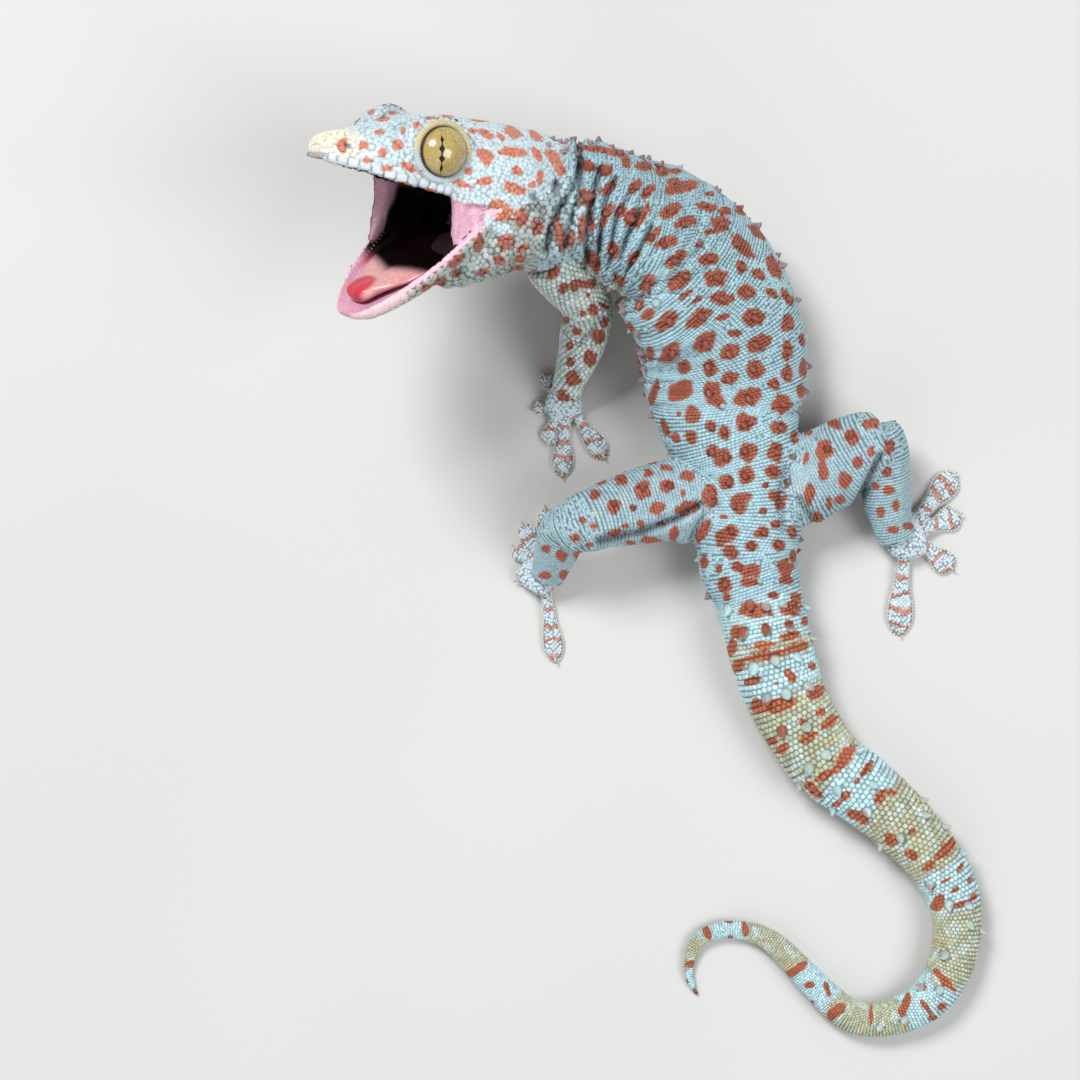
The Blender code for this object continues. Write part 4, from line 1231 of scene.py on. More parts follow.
HEAD_BLOTCHES = tuple(Blotch(*row) for row in (
    (342, 146, 6, 8.5, -15, 0.7), (363, 145, 5.5, 4.5), (382, 152, 5, 5), (397, 145, 5.2, 6),
    (379, 132, 5.5, 2.6), (383, 119, 8, 2.6, 10), (371, 112, 4, 3), (393, 113, 5, 2.4),
    (386, 168, 7, 3.6, 0), (367, 160, 6, 2.6), (409, 167, 9, 4, -28), (427, 174, 11, 3, -26),
    (403, 131, 3, 4.5), (417, 125, 4.5, 3.5), (431, 118, 7, 1.8), (448, 116, 8, 1.8),
    (479, 120, 10, 2.2, -5), (486, 134, 9, 4.2, -28), (473, 131, 6, 2.4, -10), (501, 137, 5.5, 3.6, -45),
    (513, 132, 11, 5.2, -25), (485, 156, 10, 7.6, -35), (513, 152, 14, 5.6, -3), (537, 154, 8.5, 4.2, -60),
    (536, 136, 9, 4.2, -40), (553, 157, 10, 6, -45), (517, 171, 6.5, 4.8, -20), (484, 181, 8.5, 4.8),
    (462, 184, 12, 3.6, -18), (515, 189, 13, 6.2, -18), (468, 171, 4, 4.2), (540, 177, 3.8, 8),
    (532, 185, 4, 4), (499, 209, 14, 10, -35, 0.9), (473, 227, 8, 8.5, 20, 0.8),
    (479, 243, 5, 10, -8, 0.4), (505, 240, 8, 5.5, 30, 0.2), (521, 217, 6.5, 9, 10, 0.15),
    (538, 227, 6, 7.5, 0, 0.1), (450, 251, 5, 6, 15, 1.0), (433, 268, 5.6, 5.4, 0, 1.0),
    (414, 283, 8, 4.6, 25, 1.0), (456, 261, 9, 4.2, 38, 0.3), (456, 273, 4.5, 4.5, 0, 0.2),
    (440, 282, 7, 4, 30, 0.2), (426, 288, 5, 4, 20, 0.3), (482, 272, 7, 3, 12, 0.1),
    (499, 260, 5.5, 5.5, 0, 0.2), (520, 259, 6, 3.6, 0, 0.1), (523, 248, 8, 3, 30, 0.1),
    (507, 246, 9, 3.6, 32, 0.1), (518, 268, 6, 2.6, 0, 0.1), (404, 183, 7, 2, -14, 1.0),
    (431, 190, 5, 1.6, -10, 1.0), (560, 168, 5, 9, 10), (534, 276, 6, 6, 0, 0.0)))

BODY_BLOTCHES = tuple(Blotch(*row) for row in (
    (588, 166, 9, 6.5, -15), (606, 170, 7, 6.5), (587, 197, 8.5, 9, 20), (609, 188, 9.5, 5, 55),
    (597, 149, 20, 3.2, -6), (616, 153, 10, 3.5, -8), (626, 161, 5, 7.5), (644, 166, 9, 4.8),
    (662, 171, 8, 5, -10), (675, 171, 6.5, 3), (635, 186, 8.5, 5, 55), (648, 191, 9, 4.8, 45),
    (681, 187, 18, 6.2, 12), (673, 182, 7, 4), (710, 194, 5, 2.6), (670, 211, 12.5, 6.4, 32),
    (631, 217, 9.5, 5.5, 60), (642, 216, 15, 4.4, 62), (620, 211, 8, 5.5, 42), (608, 211, 9, 5, 62),
    (707, 207, 10, 4.6, -12), (725, 211, 6.5, 4.5, -10), (686, 222, 12, 5.6, 12), (720, 223, 10, 7, -5),
    (714, 231, 14, 2.6, 8), (653, 236, 10, 4.4, 48), (667, 242, 12.5, 5.8, 17), (699, 245, 5, 2.6, 20),
    (676, 259, 12.5, 6, 38), (709, 259, 11.5, 5.8, 12), (680, 280, 14, 7, 36), (716, 278, 12, 8.5),
    (648, 283, 10.5, 6, 38), (634, 258, 9.5, 4.6, 42), (603, 222, 4, 7, -20), (582, 228, 4.5, 15, -5),
    (560, 235, 5, 18, 15), (591, 222, 3, 14, 8), (571, 240, 4, 10), (614, 250, 6, 9, 20),
    (594, 262, 6, 12, 20), (619, 280, 5, 7, 30), (685, 295, 10, 2.8, 35), (697, 300, 8, 2.8, 32),
    (722, 299, 11, 7, -5), (639, 306, 6.5, 4.2, 60), (648, 314, 7.5, 5.4, 30), (629, 330, 4, 9),
    (667, 321, 14, 8, 40), (699, 318, 13.5, 7.4, 42), (723, 317, 8, 3, 15), (741, 267, 6, 6.6),
    (759, 274, 7, 5.2, -30), (742, 246, 15, 6.5, -50), (757, 232, 11, 4.6, -40), (741, 211, 6, 4, -30),
    (774, 267, 12.5, 6.2, -65), (746, 292, 9, 7.3), (772, 293, 8, 3.8, -40), (787, 297, 10, 4.6, -55),
    (753, 318, 11.5, 9), (788, 323, 6.5, 9), (735, 333, 7.5, 3.8), (705, 342, 12.5, 8, 45),
    (760, 343, 13, 7.6, 30), (730, 352, 9.5, 7.5, 35), (787, 351, 6, 10), (670, 353, 13, 7.2, 48),
    (650, 353, 4, 7.5), (684, 367, 7.5, 6, 20), (710, 368, 7.5, 8, 30), (755, 369, 9.5, 9.5),
    (787, 374, 6, 8.5), (803, 368, 4, 10), (802, 340, 3.5, 7), (730, 378, 8.5, 7.4, 20),
    (774, 384, 5.5, 6), (680, 391, 13.5, 9.5, 30), (712, 390, 8.5, 8.5), (717, 401, 9, 7, -20),
    (748, 397, 14, 9, 15), (781, 404, 10, 9.5), (801, 391, 4.5, 7), (654, 393, 4, 13, -15),
    (693, 415, 7.5, 9.5, -10), (679, 414, 2.8, 2.8), (745, 422, 9.8, 9.5), (779, 428, 9, 6.5),
    (711, 426, 5.8, 6), (724, 433, 6.5, 7.5), (665, 428, 4, 9, 20), (676, 438, 4.5, 5),
    (691, 437, 6, 7, 20), (795, 438, 5, 7), (713, 451, 6.5, 7), (722, 458, 9, 9.5), (748, 452, 10, 10),
    (775, 452, 8, 9.5), (795, 458, 5.5, 5.5), (746, 475, 7.5, 9), (773, 472, 7.5, 7), (794, 468, 4.5, 9),
    (726, 482, 8.5, 7.5), (765, 485, 3.5, 3.5), (789, 482, 6, 5, 40), (710, 495, 7.5, 11),
    (741, 499, 11, 6, 20), (739, 507, 8, 7), (777, 496, 11, 5.5, -5), (780, 504, 5, 6), (763, 511, 4, 3.5),
    (724, 517, 4, 2), (728, 534, 12, 8, 30), (721, 538, 6, 9, -10), (775, 524, 5, 4.5), (761, 532, 7.5, 6),
    (792, 532, 5, 6), (751, 546, 7, 5), (730, 552, 8.5, 6.5), (778, 545, 7, 6), (793, 556, 4, 6),
    (704, 562, 4, 7), (703, 532, 13, 5, 60), (738, 567, 8, 5), (751, 571, 10, 7), (750, 582, 9, 5),
    (719, 569, 3.5, 4), (785, 568, 8, 9), (786, 580, 7, 5), (725, 585, 7.5, 7.5), (727, 597, 4, 4),
    (773, 595, 6, 4), (796, 598, 6, 6)))

TAIL_BLOTCHES = tuple(Blotch(*row) for row in (
    (755, 610, 17, 8.5, -5), (791, 608, 11, 8, 10), (739, 632, 9.5, 7), (766, 629, 5, 6), (789, 624, 5, 5),
    (805, 621, 4, 5), (731, 648, 5, 9, -20), (764, 645, 13, 4.4, 5, 0.9), (765, 656, 22, 4.5, 12),
    (790, 636, 11, 5, 12, 0.8), (797, 647, 14, 5, 15), (738, 666, 6, 8, -30), (812, 666, 4.5, 4),
    (791, 676, 7.5, 5.5, -35), (776, 683, 2.5, 2), (752, 681, 9, 4.6, 20), (816, 692, 10, 6, 30),
    (775, 706, 22, 7.6, 12, 0.6), (757, 706, 6, 9), (821, 712, 4.5, 4.5), (830, 722, 10, 5, 35, 0.6),
    (803, 722, 4, 4), (782, 731, 5, 6), (772, 741, 7, 5, 20), (808, 738, 11, 5, 22, 0.7),
    (782, 749, 7, 5, 30, 0.4), (845, 757, 16, 6.2, 54), (826, 775, 13, 4.6, 30), (811, 787, 9, 5, -40),
    (867, 769, 10, 4, 50), (857, 781, 4, 2.6, 40), (846, 796, 7, 4, 45), (815, 792, 9, 4, -35),
    (836, 804, 6, 3, 20), (858, 816, 12, 6.5, -20), (880, 797, 5, 9, -30), (890, 792, 8, 3.6, -10, 0.8),
    (892, 840, 8, 6, -30), (912, 831, 5, 3, 40), (912, 855, 8, 4.6, -30), (946, 849, 14, 6, 48),
    (928, 866, 9, 4, 32), (960, 868, 6, 2.4, 60), (970, 880, 4, 2.4, 45), (930, 887, 5, 3, -20),
    (946, 880, 6, 1.8, 25), (955, 890, 5, 2.4, 30), (938, 903, 6, 9, -30), (962, 904, 12, 3, 15),
    (974, 897, 5, 3, 40), (944, 980, 16, 4, -45, 0.4), (921, 987, 5, 3, -10), (942, 1006, 5, 3.4, 30),
    (926, 1007, 10, 2.8, -50), (933, 1018, 5, 3), (905, 1005, 5, 12, -20), (871, 1016, 2.4, 10, 0, 0.7),
    (836, 1012, 12, 6, 40), (809, 985, 5.5, 3.4, 15), (827, 989, 3, 8, 15), (810, 1003, 4, 2.5),
    (797, 969, 13, 4.6, 35), (745, 929, 3.6, 9, 10), (730, 937, 3, 2.6), (729, 921, 4, 2),
    (707, 932, 4, 9, 20), (691, 964, 7, 3.6), (686, 982, 2.6, 3), (697, 994, 4, 4)))

LIMB_BLOTCHES = tuple(Blotch(x, y, wide * 1.08, high * 1.08, *rest) for x, y, wide, high, *rest in (
    (553, 272, 5, 9, -35), (577, 285, 8, 5, 20), (591, 284, 5.5, 4.5, -20), (563, 289, 4, 6, -30),
    (593, 310, 5, 6), (604, 306, 5, 3, -30), (598, 336, 7, 7, 20), (577, 332, 5, 4.5), (570, 346, 4, 4.5),
    (590, 358, 7, 8, 20), (570, 362, 4.5, 5), (573, 379, 7, 8, 30), (564, 398, 7, 3.5), (604, 322, 4, 6),
    (583, 314, 3.5, 3.5), (562, 392, 3.5, 3), (588, 295, 3, 2), (565, 320, 4, 4), (621, 480, 6.5, 6),
    (623, 468, 4, 4), (637, 466, 3, 2), (650, 462, 6, 2), (667, 468, 7.5, 3, -5), (648, 473, 4.5, 4),
    (643, 490, 7.5, 8.5), (667, 486, 7.5, 6.5), (683, 493, 2.8, 3.5), (595, 495, 5, 5, 20),
    (614, 507, 7, 7.5), (633, 508, 4, 3), (657, 508, 8, 6.5, 20), (601, 482, 5, 2.5, 20),
    (687, 508, 12, 7, 12), (625, 526, 4, 2.5), (641, 524, 3.5, 4), (614, 533, 7, 3.5, 10),
    (593, 526, 4, 3.5), (674, 534, 5, 7.5, -5), (652, 541, 10, 4.4, -8), (631, 543, 5, 2.5, -15),
    (662, 524, 4, 3), (683, 456, 7, 4, 15), (698, 462, 6.5, 5, 15), (688, 476, 8, 5, 10),
    (710, 495, 7.5, 11), (703, 532, 13, 5, 60), (575, 538, 5, 4), (561, 556, 5, 6, 30), (546, 549, 4, 4),
    (545, 575, 6, 4), (578, 555, 5, 4), (564, 575, 5, 5), (583, 520, 4, 3), (590, 545, 4, 3),
    (824, 450, 8.5, 9.5), (823, 471, 5, 10), (810, 493, 5, 11, -5), (829, 503, 3, 7, 5),
    (817, 520, 5, 8.5), (834, 423, 8, 5, -30), (808, 432, 4, 4), (806, 458, 3, 6, -20),
    (803, 537, 5, 3, 20), (852, 437, 7, 8), (871, 424, 8, 5), (845, 480, 7, 8, 20), (858, 462, 5, 6),
    (840, 500, 6, 4), (871, 452, 4, 5), (889, 447, 6, 7), (887, 472, 5, 5), (889, 490, 6, 4),
    (876, 486, 4, 5), (896, 506, 4, 6), (893, 530, 6, 4), (908, 526, 5, 4), (880, 512, 4, 5)))

# Tubercles seen on the drawing: x, y and radius in drawing units; first the brown ones, then the pale ones
BROWN_TUBERCLES = (
    (589, 166, 6.5), (605, 171, 6.5), (587, 197, 6.5), (636, 187, 4.5), (646, 192, 4.5), (673, 182, 4),
    (710, 194, 4), (645, 166, 4), (661, 171, 4), (676, 171, 3.6), (671, 212, 4.6), (630, 218, 6),
    (620, 211, 5), (606, 213, 5), (704, 205, 4.2), (727, 210, 4.4), (684, 224, 4.6), (722, 224, 4.2),
    (651, 238, 4.6), (664, 245, 4.4), (699, 243, 3.6), (675, 261, 5), (709, 258, 4.6), (686, 276, 4.6),
    (716, 277, 5), (646, 285, 5), (634, 260, 4.4), (722, 299, 4.6), (639, 306, 4.4), (669, 321, 4.8),
    (701, 316, 4.8), (742, 267, 4.4), (759, 275, 4.6), (735, 244, 4), (753, 255, 3.6), (757, 225, 3.6),
    (744, 206, 3.6), (778, 269, 4), (748, 293, 4.8), (788, 299, 4.2), (755, 318, 4.8), (789, 325, 4.4),
    (705, 343, 4.8), (756, 345, 4.8), (729, 354, 5), (789, 352, 4.6), (672, 353, 4.2), (708, 367, 4.8),
    (753, 369, 4.8), (788, 377, 4.4), (729, 380, 4.8), (775, 385, 4.6), (709, 393, 4.8), (749, 399, 4.8),
    (783, 404, 4.6), (744, 425, 4.8), (781, 428, 4.6), (712, 427, 4.6), (724, 431, 4.8), (795, 439, 4.2),
    (712, 452, 4.8), (726, 457, 5), (745, 451, 4.8), (777, 452, 4.6), (793, 457, 4.2), (745, 476, 4.6),
    (774, 471, 4.6), (729, 482, 5), (765, 485, 3.2), (788, 482, 4.4), (734, 506, 4.4), (763, 511, 3.4),
    (732, 531, 4.6), (775, 523, 4), (764, 532, 4.4), (792, 532, 4), (751, 546, 4.4), (734, 553, 4.4),
    (779, 544, 4.2), (739, 568, 4.2), (719, 569, 3), (776, 563, 3.6), (725, 584, 5), (796, 599, 4.2),
    (773, 594, 3), (622, 478, 4.2), (648, 472, 3), (643, 488, 5), (670, 486, 4.6), (614, 503, 4.6),
    (633, 508, 2.8), (595, 494, 3.6), (827, 449, 4.8), (850, 437, 4.4), (838, 424, 4), (889, 447, 4),
    (887, 470, 4), (750, 605, 4.6), (743, 633, 5), (766, 630, 4.6), (790, 628, 4.4), (767, 699, 5),
    (782, 731, 5), (796, 610, 4.2), (552, 139, 3), (559, 136, 3.4), (566, 141, 3.6), (573, 139, 3.2),
    (580, 144, 3.4), (569, 149, 3.2), (584, 149, 4), (601, 151, 3.6), (620, 153, 3.6), (548, 145, 2.8),
    (562, 152, 3), (576, 154, 3), (563, 170, 3), (557, 184, 2.8), (590, 143, 3), (611, 145, 3),
    (630, 149, 3), (600, 190, 3.6), (578, 205, 3.6), (612, 250, 4.4), (594, 243, 3.6))
PALE_TUBERCLES = (
    (698, 559, 5.2), (549, 208, 4.6), (574, 193, 5), (597, 205, 5), (620, 179, 5), (690, 194, 5),
    (656, 202, 6), (601, 253, 5), (643, 227, 4.6), (612, 277, 5.5), (640, 271, 5), (656, 303, 6.5),
    (629, 296, 4.6), (693, 297, 4.4), (645, 329, 4.6), (728, 327, 4.6), (766, 303, 3.6), (771, 329, 3.4),
    (769, 247, 3.4), (736, 260, 3), (763, 285, 3.2), (723, 406, 4.8), (766, 386, 3.4), (771, 360, 3.6),
    (760, 437, 3.4), (700, 447, 3.2), (751, 504, 4.4), (788, 506, 4.4), (795, 495, 3.6), (720, 563, 3.6),
    (758, 563, 4), (760, 581, 4.4), (777, 581, 4.2), (728, 609, 4.6), (766, 606, 4.6), (783, 604, 4),
    (754, 668, 5.4), (775, 660, 4.8), (797, 657, 4.4), (786, 694, 5), (808, 686, 5), (806, 727, 4.8),
    (784, 738, 4.8), (826, 755, 5), (809, 768, 5.4), (851, 733, 4.6), (837, 790, 4.6), (858, 750, 4.4),
    (867, 812, 4.4), (873, 785, 4), (900, 838, 4), (903, 770, 4), (925, 815, 4), (949, 905, 4.4),
    (962, 853, 4.2), (930, 884, 4), (968, 905, 4), (945, 955, 4.4), (970, 925, 4), (921, 987, 4),
    (940, 990, 4), (905, 1020, 4), (880, 1028, 3.6))
# Light bands of the tail: drawing x and y of their middle, and half their length in mm
LIGHT_BANDS = (
    (776, 675, 3.9), (856, 786, 5.4), (949, 885, 4.4), (924, 1000, 5.2), (815, 986, 4.7), (727, 930, 3.3),
    (691, 977, 2.7))


@dataclass
class Markings:
    """The gecko's colours as functions of the place on the skin.

    Args:
        surface: The skin.
        spot_along: Distance between the body's spots along it, in mm.
        spot_across: Distance between them across it.
    """

    surface: Surface
    spot_along: float = 5.3
    spot_across: float = 5.3

    def build(self) -> None:
        """Place the spots on the body's hidden side and the bands along the tail."""
        rng = np.random.default_rng(SEED)
        trunk = self.surface.wraps[0]
        middle = trunk.grid.mean(axis=1)
        flat = on_drawing(middle)

        def along(px: float, py: float) -> float:
            """Distance along the spine of a place on the drawing."""
            return float(trunk.along[np.argmin(np.linalg.norm(flat - np.array([px, py]), axis=1))])

        self.light_bands = [(along(px, py), half) for px, py, half in LIGHT_BANDS]
        self.olive_from = along(764, 641)
        tail_s = self.surface.trunk.tail_s
        spots = []
        rows = int((tail_s - 4) / self.spot_along)
        for i in range(rows):
            s = 6.0 + i * self.spot_along
            count = int(trunk.girth(s) * 0.80 / self.spot_across)
            for k in range(count):
                angle = (k - (count - 1) / 2 + 0.5 * (i % 2) - 0.25) * self.spot_across
                angle = math.pi / 2 + angle / trunk.girth(s) * 2 * math.pi
                spots.append((s + rng.normal(0, 0.35), angle + rng.normal(0, 0.012), rng.random()))
        spots = np.array(spots)
        self.spot_points, _, self.spot_along_dir = trunk.place(spots[:, 0], spots[:, 1])
        self.spot_s, self.spot_angle, chance = spots.T
        self.spot_size = 1.62 + 0.45 * rng.random(len(spots))
        self.spot_shown = (chance < 0.86) & (np.sin(self.spot_angle) > -0.72)
        self.spot_tree = KDTree(len(spots))
        for i, p in enumerate(self.spot_points):
            self.spot_tree.insert(p, i)
        self.spot_tree.balance()

    def body_spots(self, points: Array) -> Array:
        """How much of a body spot lies on each place, 0 to 1.

        Args:
            points: Places on the body in mm.

        Returns:
            A number for each place, above 0 on a spot.
        """
        out = np.zeros(len(points))
        for i, p in enumerate(points):
            for _, k, _ in self.spot_tree.find_n(p, 2):
                if self.spot_shown[k]:
                    off = p - self.spot_points[k]
                    run = off @ self.spot_along_dir[k]
                    rest = math.sqrt(max(off @ off - run * run, 0.0))
                    far = math.hypot(run * 1.22, rest) / self.spot_size[k]
                    if far < 1.3:
                        out[i] = max(out[i], 1.3 - far)
        return out

    def blotches(self, points: Array, place: Array, which: Sequence[Blotch]) -> tuple[Array, Array]:
        """How much of a drawn blotch lies on each point, where it may lie, and how orange it is.

        Args:
            points: Places in mm.
            place: Which of them may have one.
            which: The blotches.

        Returns:
            The amount and the share of orange for each place.
        """
        amount, orange = np.zeros(len(points)), np.zeros(len(points))
        rows = np.nonzero(place)[0]
        flat = on_drawing(points[rows])
        wobble = 0.20 * ripple(points[rows], 1.3, 2.0)
        value, warm = np.zeros(len(rows)), np.zeros(len(rows))
        for b in which:
            d = flat - np.array([b.x, b.y])
            c, s = math.cos(math.radians(b.turn)), math.sin(math.radians(b.turn))
            x, y = d[:, 0] * c - d[:, 1] * s, d[:, 0] * s + d[:, 1] * c
            near = 1.25 - np.hypot(x / b.wide, y / b.high) - wobble
            warm = np.where(near > value, b.orange, warm)
            value = np.maximum(value, near)
        amount[rows], orange[rows] = value, warm
        return amount, orange

    def colour(self, know: Knowledge, up: Array) -> Array:
        """Colour of each place.

        Args:
            know: The places.
            up: Height of the outward direction there, -1 to 1.

        Returns:
            Rows of linear red, green and blue.
        """
        p, n = know.points, len(know.points)
        skull = self.surface.skull
        out = np.tile(Tone.GROUND.light, (n, 1))
        head_p = skull.local(p)
        jaw_p = skull.jaw_local(p)

        def mix(colour: Array, amount: Array) -> None:
            """Blend a colour in.

            Args:
                colour: The colour.
                amount: How much of it, for each place.
            """
            nonlocal out
            amount = np.clip(amount, 0, 1)[:, None]
            out = out * (1 - amount) + colour * amount

        head = (know.part == Part.HEAD) & ~know.inside
        jaw = ((know.part == Part.JAW) | (know.part == Part.THROAT)) & ~know.inside
        body, tail = know.part == Part.BODY, know.part == Part.TAIL
        arm, leg = know.part == Part.ARM, know.part == Part.LEG
        foot = (know.part == Part.FOOT) | (know.part == Part.TOE)
        mix(Tone.PALE.light, head * 0.82)
        mix(Tone.SNOUT.light, head * (1 - ramp(-head_p[:, 0], 2.5, 9.0)))
        cheek = (1 - ramp(head_p[:, 2], -2.0, 1.5)) * (1 - ramp(-head_p[:, 0], 24, 28))
        mix(Tone.CHEEK.light, head * cheek)
        mix(Tone.JAW.light, jaw * 0.85)
        # The throat darkens towards the neck: its own olive brown together with painted shadow under the head
        throat_brown_and_shadow = ramp(-head_p[:, 0], 30, 44) * (know.part == Part.THROAT)
        mix(Tone.THROAT_BROWN_AND_SHADOW.light, throat_brown_and_shadow * 0.5)
        mix(Tone.CREAM.light, jaw * ramp(-up, 0.2, 0.8) * 0.7)
        mix(Tone.GROUND.light, (know.part == Part.THROAT) * ramp(-head_p[:, 0], 38, 50) * 0.8)
        mix(Tone.ARM.light, arm * 0.9)
        mix(Tone.ARM_BLUE.light, arm * (0.5 + 0.5 * ripple(p, 3.0)) * 0.5)
        mix(Tone.LEG.light, leg * 0.7)
        mix(Tone.LEG_SAND.light, leg * ramp(ripple(p, 3.4, 3.0), 0.3, 0.9) * 0.22)
        mix(Tone.FOOT.light, foot * 0.88)
        belly = ramp(-np.sin(know.angle), 0.45, 0.85)
        mix(Tone.BELLY.light, (body | tail) * belly * 0.85)
        mix(Tone.CREAM.light, (arm | leg) * ramp(-up, 0.3, 0.8) * 0.7)
        mix(Tone.NECK.light, body * (1 - ramp(know.s, 14, 40)) * 0.45 * (1 - belly))
        self.tail_bands(know, tail, up, mix)
        if body.any():
            under = body & (up < -0.12)
            spot = np.zeros(n)
            spot[under] = self.body_spots(p[under])
            drawn, _ = self.blotches(p, body & ~under, BODY_BLOTCHES + TAIL_BLOTCHES[:8])
            spot = np.where(under, spot + 0.16 * ripple(p, 1.1) * (spot > 0), drawn)
            mix(Tone.SPOT_RIM.light, ramp(spot, 0.06, 0.2) * body * 0.55)
            mix(Tone.RUST.light, ramp(spot, 0.2, 0.3) * body)
            mix(Tone.SPOT_CORE.light, ramp(spot, 0.5, 1.1) * body * 0.45)
        seen = up > -0.25
        amount, orange = self.blotches(p, (head | jaw) & seen, HEAD_BLOTCHES)
        streak, _ = self.blotches(p, (head | jaw) & seen, BODY_BLOTCHES)
        amount = np.maximum(amount, streak) + 0.10 * ripple(p, 0.55, 8.0) * (amount + streak > 0)
        far_side = (head | jaw) & ~seen
        hidden = 0.5 + 0.5 * ripple(p, 2.3, 5.0)
        amount = np.where(far_side, hidden * 1.1 - 0.25, amount)
        rust = Tone.HEAD_RUST.light[None] * (1 - orange[:, None]) + Tone.ORANGE.light[None] * orange[:, None]
        amount = amount + 0.14 * jaw * (amount > 0)
        darker = jaw & (orange < 0.5)
        rust = np.where(darker[:, None], Tone.JAW_RUST.light[None], rust)
        mix(rust, ramp(amount, 0.16, 0.42) * (head | jaw) * 0.92)
        limb = arm | leg | (know.part == Part.FOOT)
        amount, _ = self.blotches(p, limb & (up > -0.1), LIMB_BLOTCHES)
        amount = np.where(limb & (up <= -0.1), 0.62 * ripple(p, 2.6, 1.0) - 0.05, amount)
        mix(Tone.RUST.light, ramp(amount, 0.2, 0.32) * limb)
        toe = know.part == Part.TOE
        bars = np.sin(know.s * 2 * math.pi / 3.3 + 1.2 * ripple(p, 2.5) + know.wrap * 1.9)
        bars = bars + 0.3 * ripple(p, 1.2)
        mix(Tone.TOE_BAR.light, toe * ramp(bars, 0.40, 0.75) * ramp(up, 0.35, 0.8) * 0.85)
        mix(Tone.TOE_EDGE.light, toe * (1 - ramp(up, 0.05, 0.55)) * 0.8)
        # Painted shade: the skin darkens where folds, wrinkles and the grooves round the eyes press it in
        low = np.clip(-self.surface.relief(know, up) / 0.8, 0, 1)
        mix(Tone.CREASE.light, low * 0.75 * ~know.inside)
        # The pressed-in ears and nostrils are darkened: the ear's own grey-blue together with painted shade
        # in both pits
        for place, radii, _ in skull.pits:
            off = np.hypot((head_p[:, 0] - place[0]) / radii[0], (head_p[:, 2] - place[2]) / radii[1])
            near = head & (np.abs(np.abs(head_p[:, 1]) - place[1]) < 3.0)
            mix(Tone.PIT_GREY_AND_SHADE.light, near * (1 - ramp(off, 0.7, 1.05)) * 0.85)
        self.mouth(know, head_p, jaw_p, mix)
        return out

    def tail_bands(self, know: Knowledge, tail: Array, up: Array, mix: Blend) -> None:
        """Colour the tail: light ground at its root, then olive bands between light ones, and rust marks.

        Args:
            know: The places.
            tail: Which of them are on the tail.
            up: Height of the outward direction there.
            mix: Blends a colour in, by an amount for each place.
        """
        p = know.points
        wave = know.s + 0.9 * ripple(p, 3.0) + 0.5 * ripple(p, 1.3, 4.0)
        light = 1 - ramp(wave, self.olive_from - 0.6, self.olive_from + 0.6)
        for centre, half in self.light_bands:
            light = np.maximum(light, 1 - ramp(np.abs(wave - centre), half - 0.5, half + 0.5))
        mix(Tone.OLIVE.light, tail * (1 - light) * 0.9)
        border = ramp(light * (1 - light) * 4 + 0.4 * ripple(p, 1.1, 3.0), 0.3, 0.9)
        mix(Tone.BAND_EDGE.light, tail * border * 0.7)
        mix(Tone.TAIL_TAN.light, tail * (1 - light) * ramp(ripple(p, 1.5, 7.0), 0.3, 0.8) * 0.42)
        mix(Tone.TAIL_MINT.light, tail * (1 - light) * ramp(ripple(p, 1.9, 9.0), 0.0, 0.7) * 0.62)
        mix(Tone.TAIL_LIGHT.light, tail * light * 0.8)
        shown = tail & (up > -0.12)
        amount, orange = self.blotches(p, shown, TAIL_BLOTCHES + BODY_BLOTCHES[-9:])
        hidden = 1.1 * ripple(p, 2.4, 2.0) - 0.35
        amount = np.where(shown, amount, hidden)
        warm = Tone.TAIL_ORANGE.light[None] * orange[:, None] * 0.6
        tone = Tone.RUST.light[None] * (1 - orange[:, None] * 0.6) + warm
        mix(tone, ramp(amount, 0.2, 0.32) * tail)

    def mouth(self, know: Knowledge, head_p: Array, jaw_p: Array, mix: Blend) -> None:
        """Colour the lips, the cheek skin and the inside of the mouth, painting shade black where the mouth
        runs deep.

        Args:
            know: The places.
            head_p: The same in the head's frame.
            jaw_p: The same along the jaw.
            mix: Blends a colour in, by an amount for each place.
        """
        roof = know.inside & (know.part == Part.HEAD)
        floor = know.inside & np.isin(know.part, (Part.JAW, Part.THROAT, Part.BODY))
        u = -head_p[:, 0]
        mix(Tone.LINING.light, roof | floor)
        mix(Tone.FLESH.light, roof * ramp(u, 5, 10))
        # Painted shade: the roof turns black towards the back of the deep mouth
        mix(Tone.DARK.light, roof * ramp(u, 9, 15))
        mix(Tone.PALATE.light, roof * (1 - ramp(u, 2.5, 6.0)))
        mix(Tone.FLESH.light, floor * (1 - ramp(jaw_p[:, 0], 18, 22)) * ramp(-jaw_p[:, 2], 0.5, 1.4))
        # Painted shade: the floor of the mouth turns black towards the throat
        deep = np.where(know.part == Part.JAW, ramp(-jaw_p[:, 2], -2.4, -0.8), 1.0)
        mix(Tone.DARK.light, floor * (1 - ramp(jaw_p[:, 0], 16, 20)) * deep)
        head = know.part == Part.HEAD
        wall = head & (head_p[:, 2] < -3.2) & (u > 20) & (u < 30.5)
        p = know.points
        edge = u + 0.5 * ripple(p, 2.0)
        mix(Tone.CHEEK_SKIN.light, wall)
        # Painted sheen: lighter pink patches stand in for wet highlights on the cheek skin
        mix(Tone.CHEEK_SHEEN.light, wall * ramp(ripple(p, 2.4, 6.0), 0.2, 0.9) * 0.6)
        mix(Tone.CHEEK_EDGE.light, (wall & ~know.inside) * (1 - ramp(edge, 23.6, 25.4)) * 0.7)
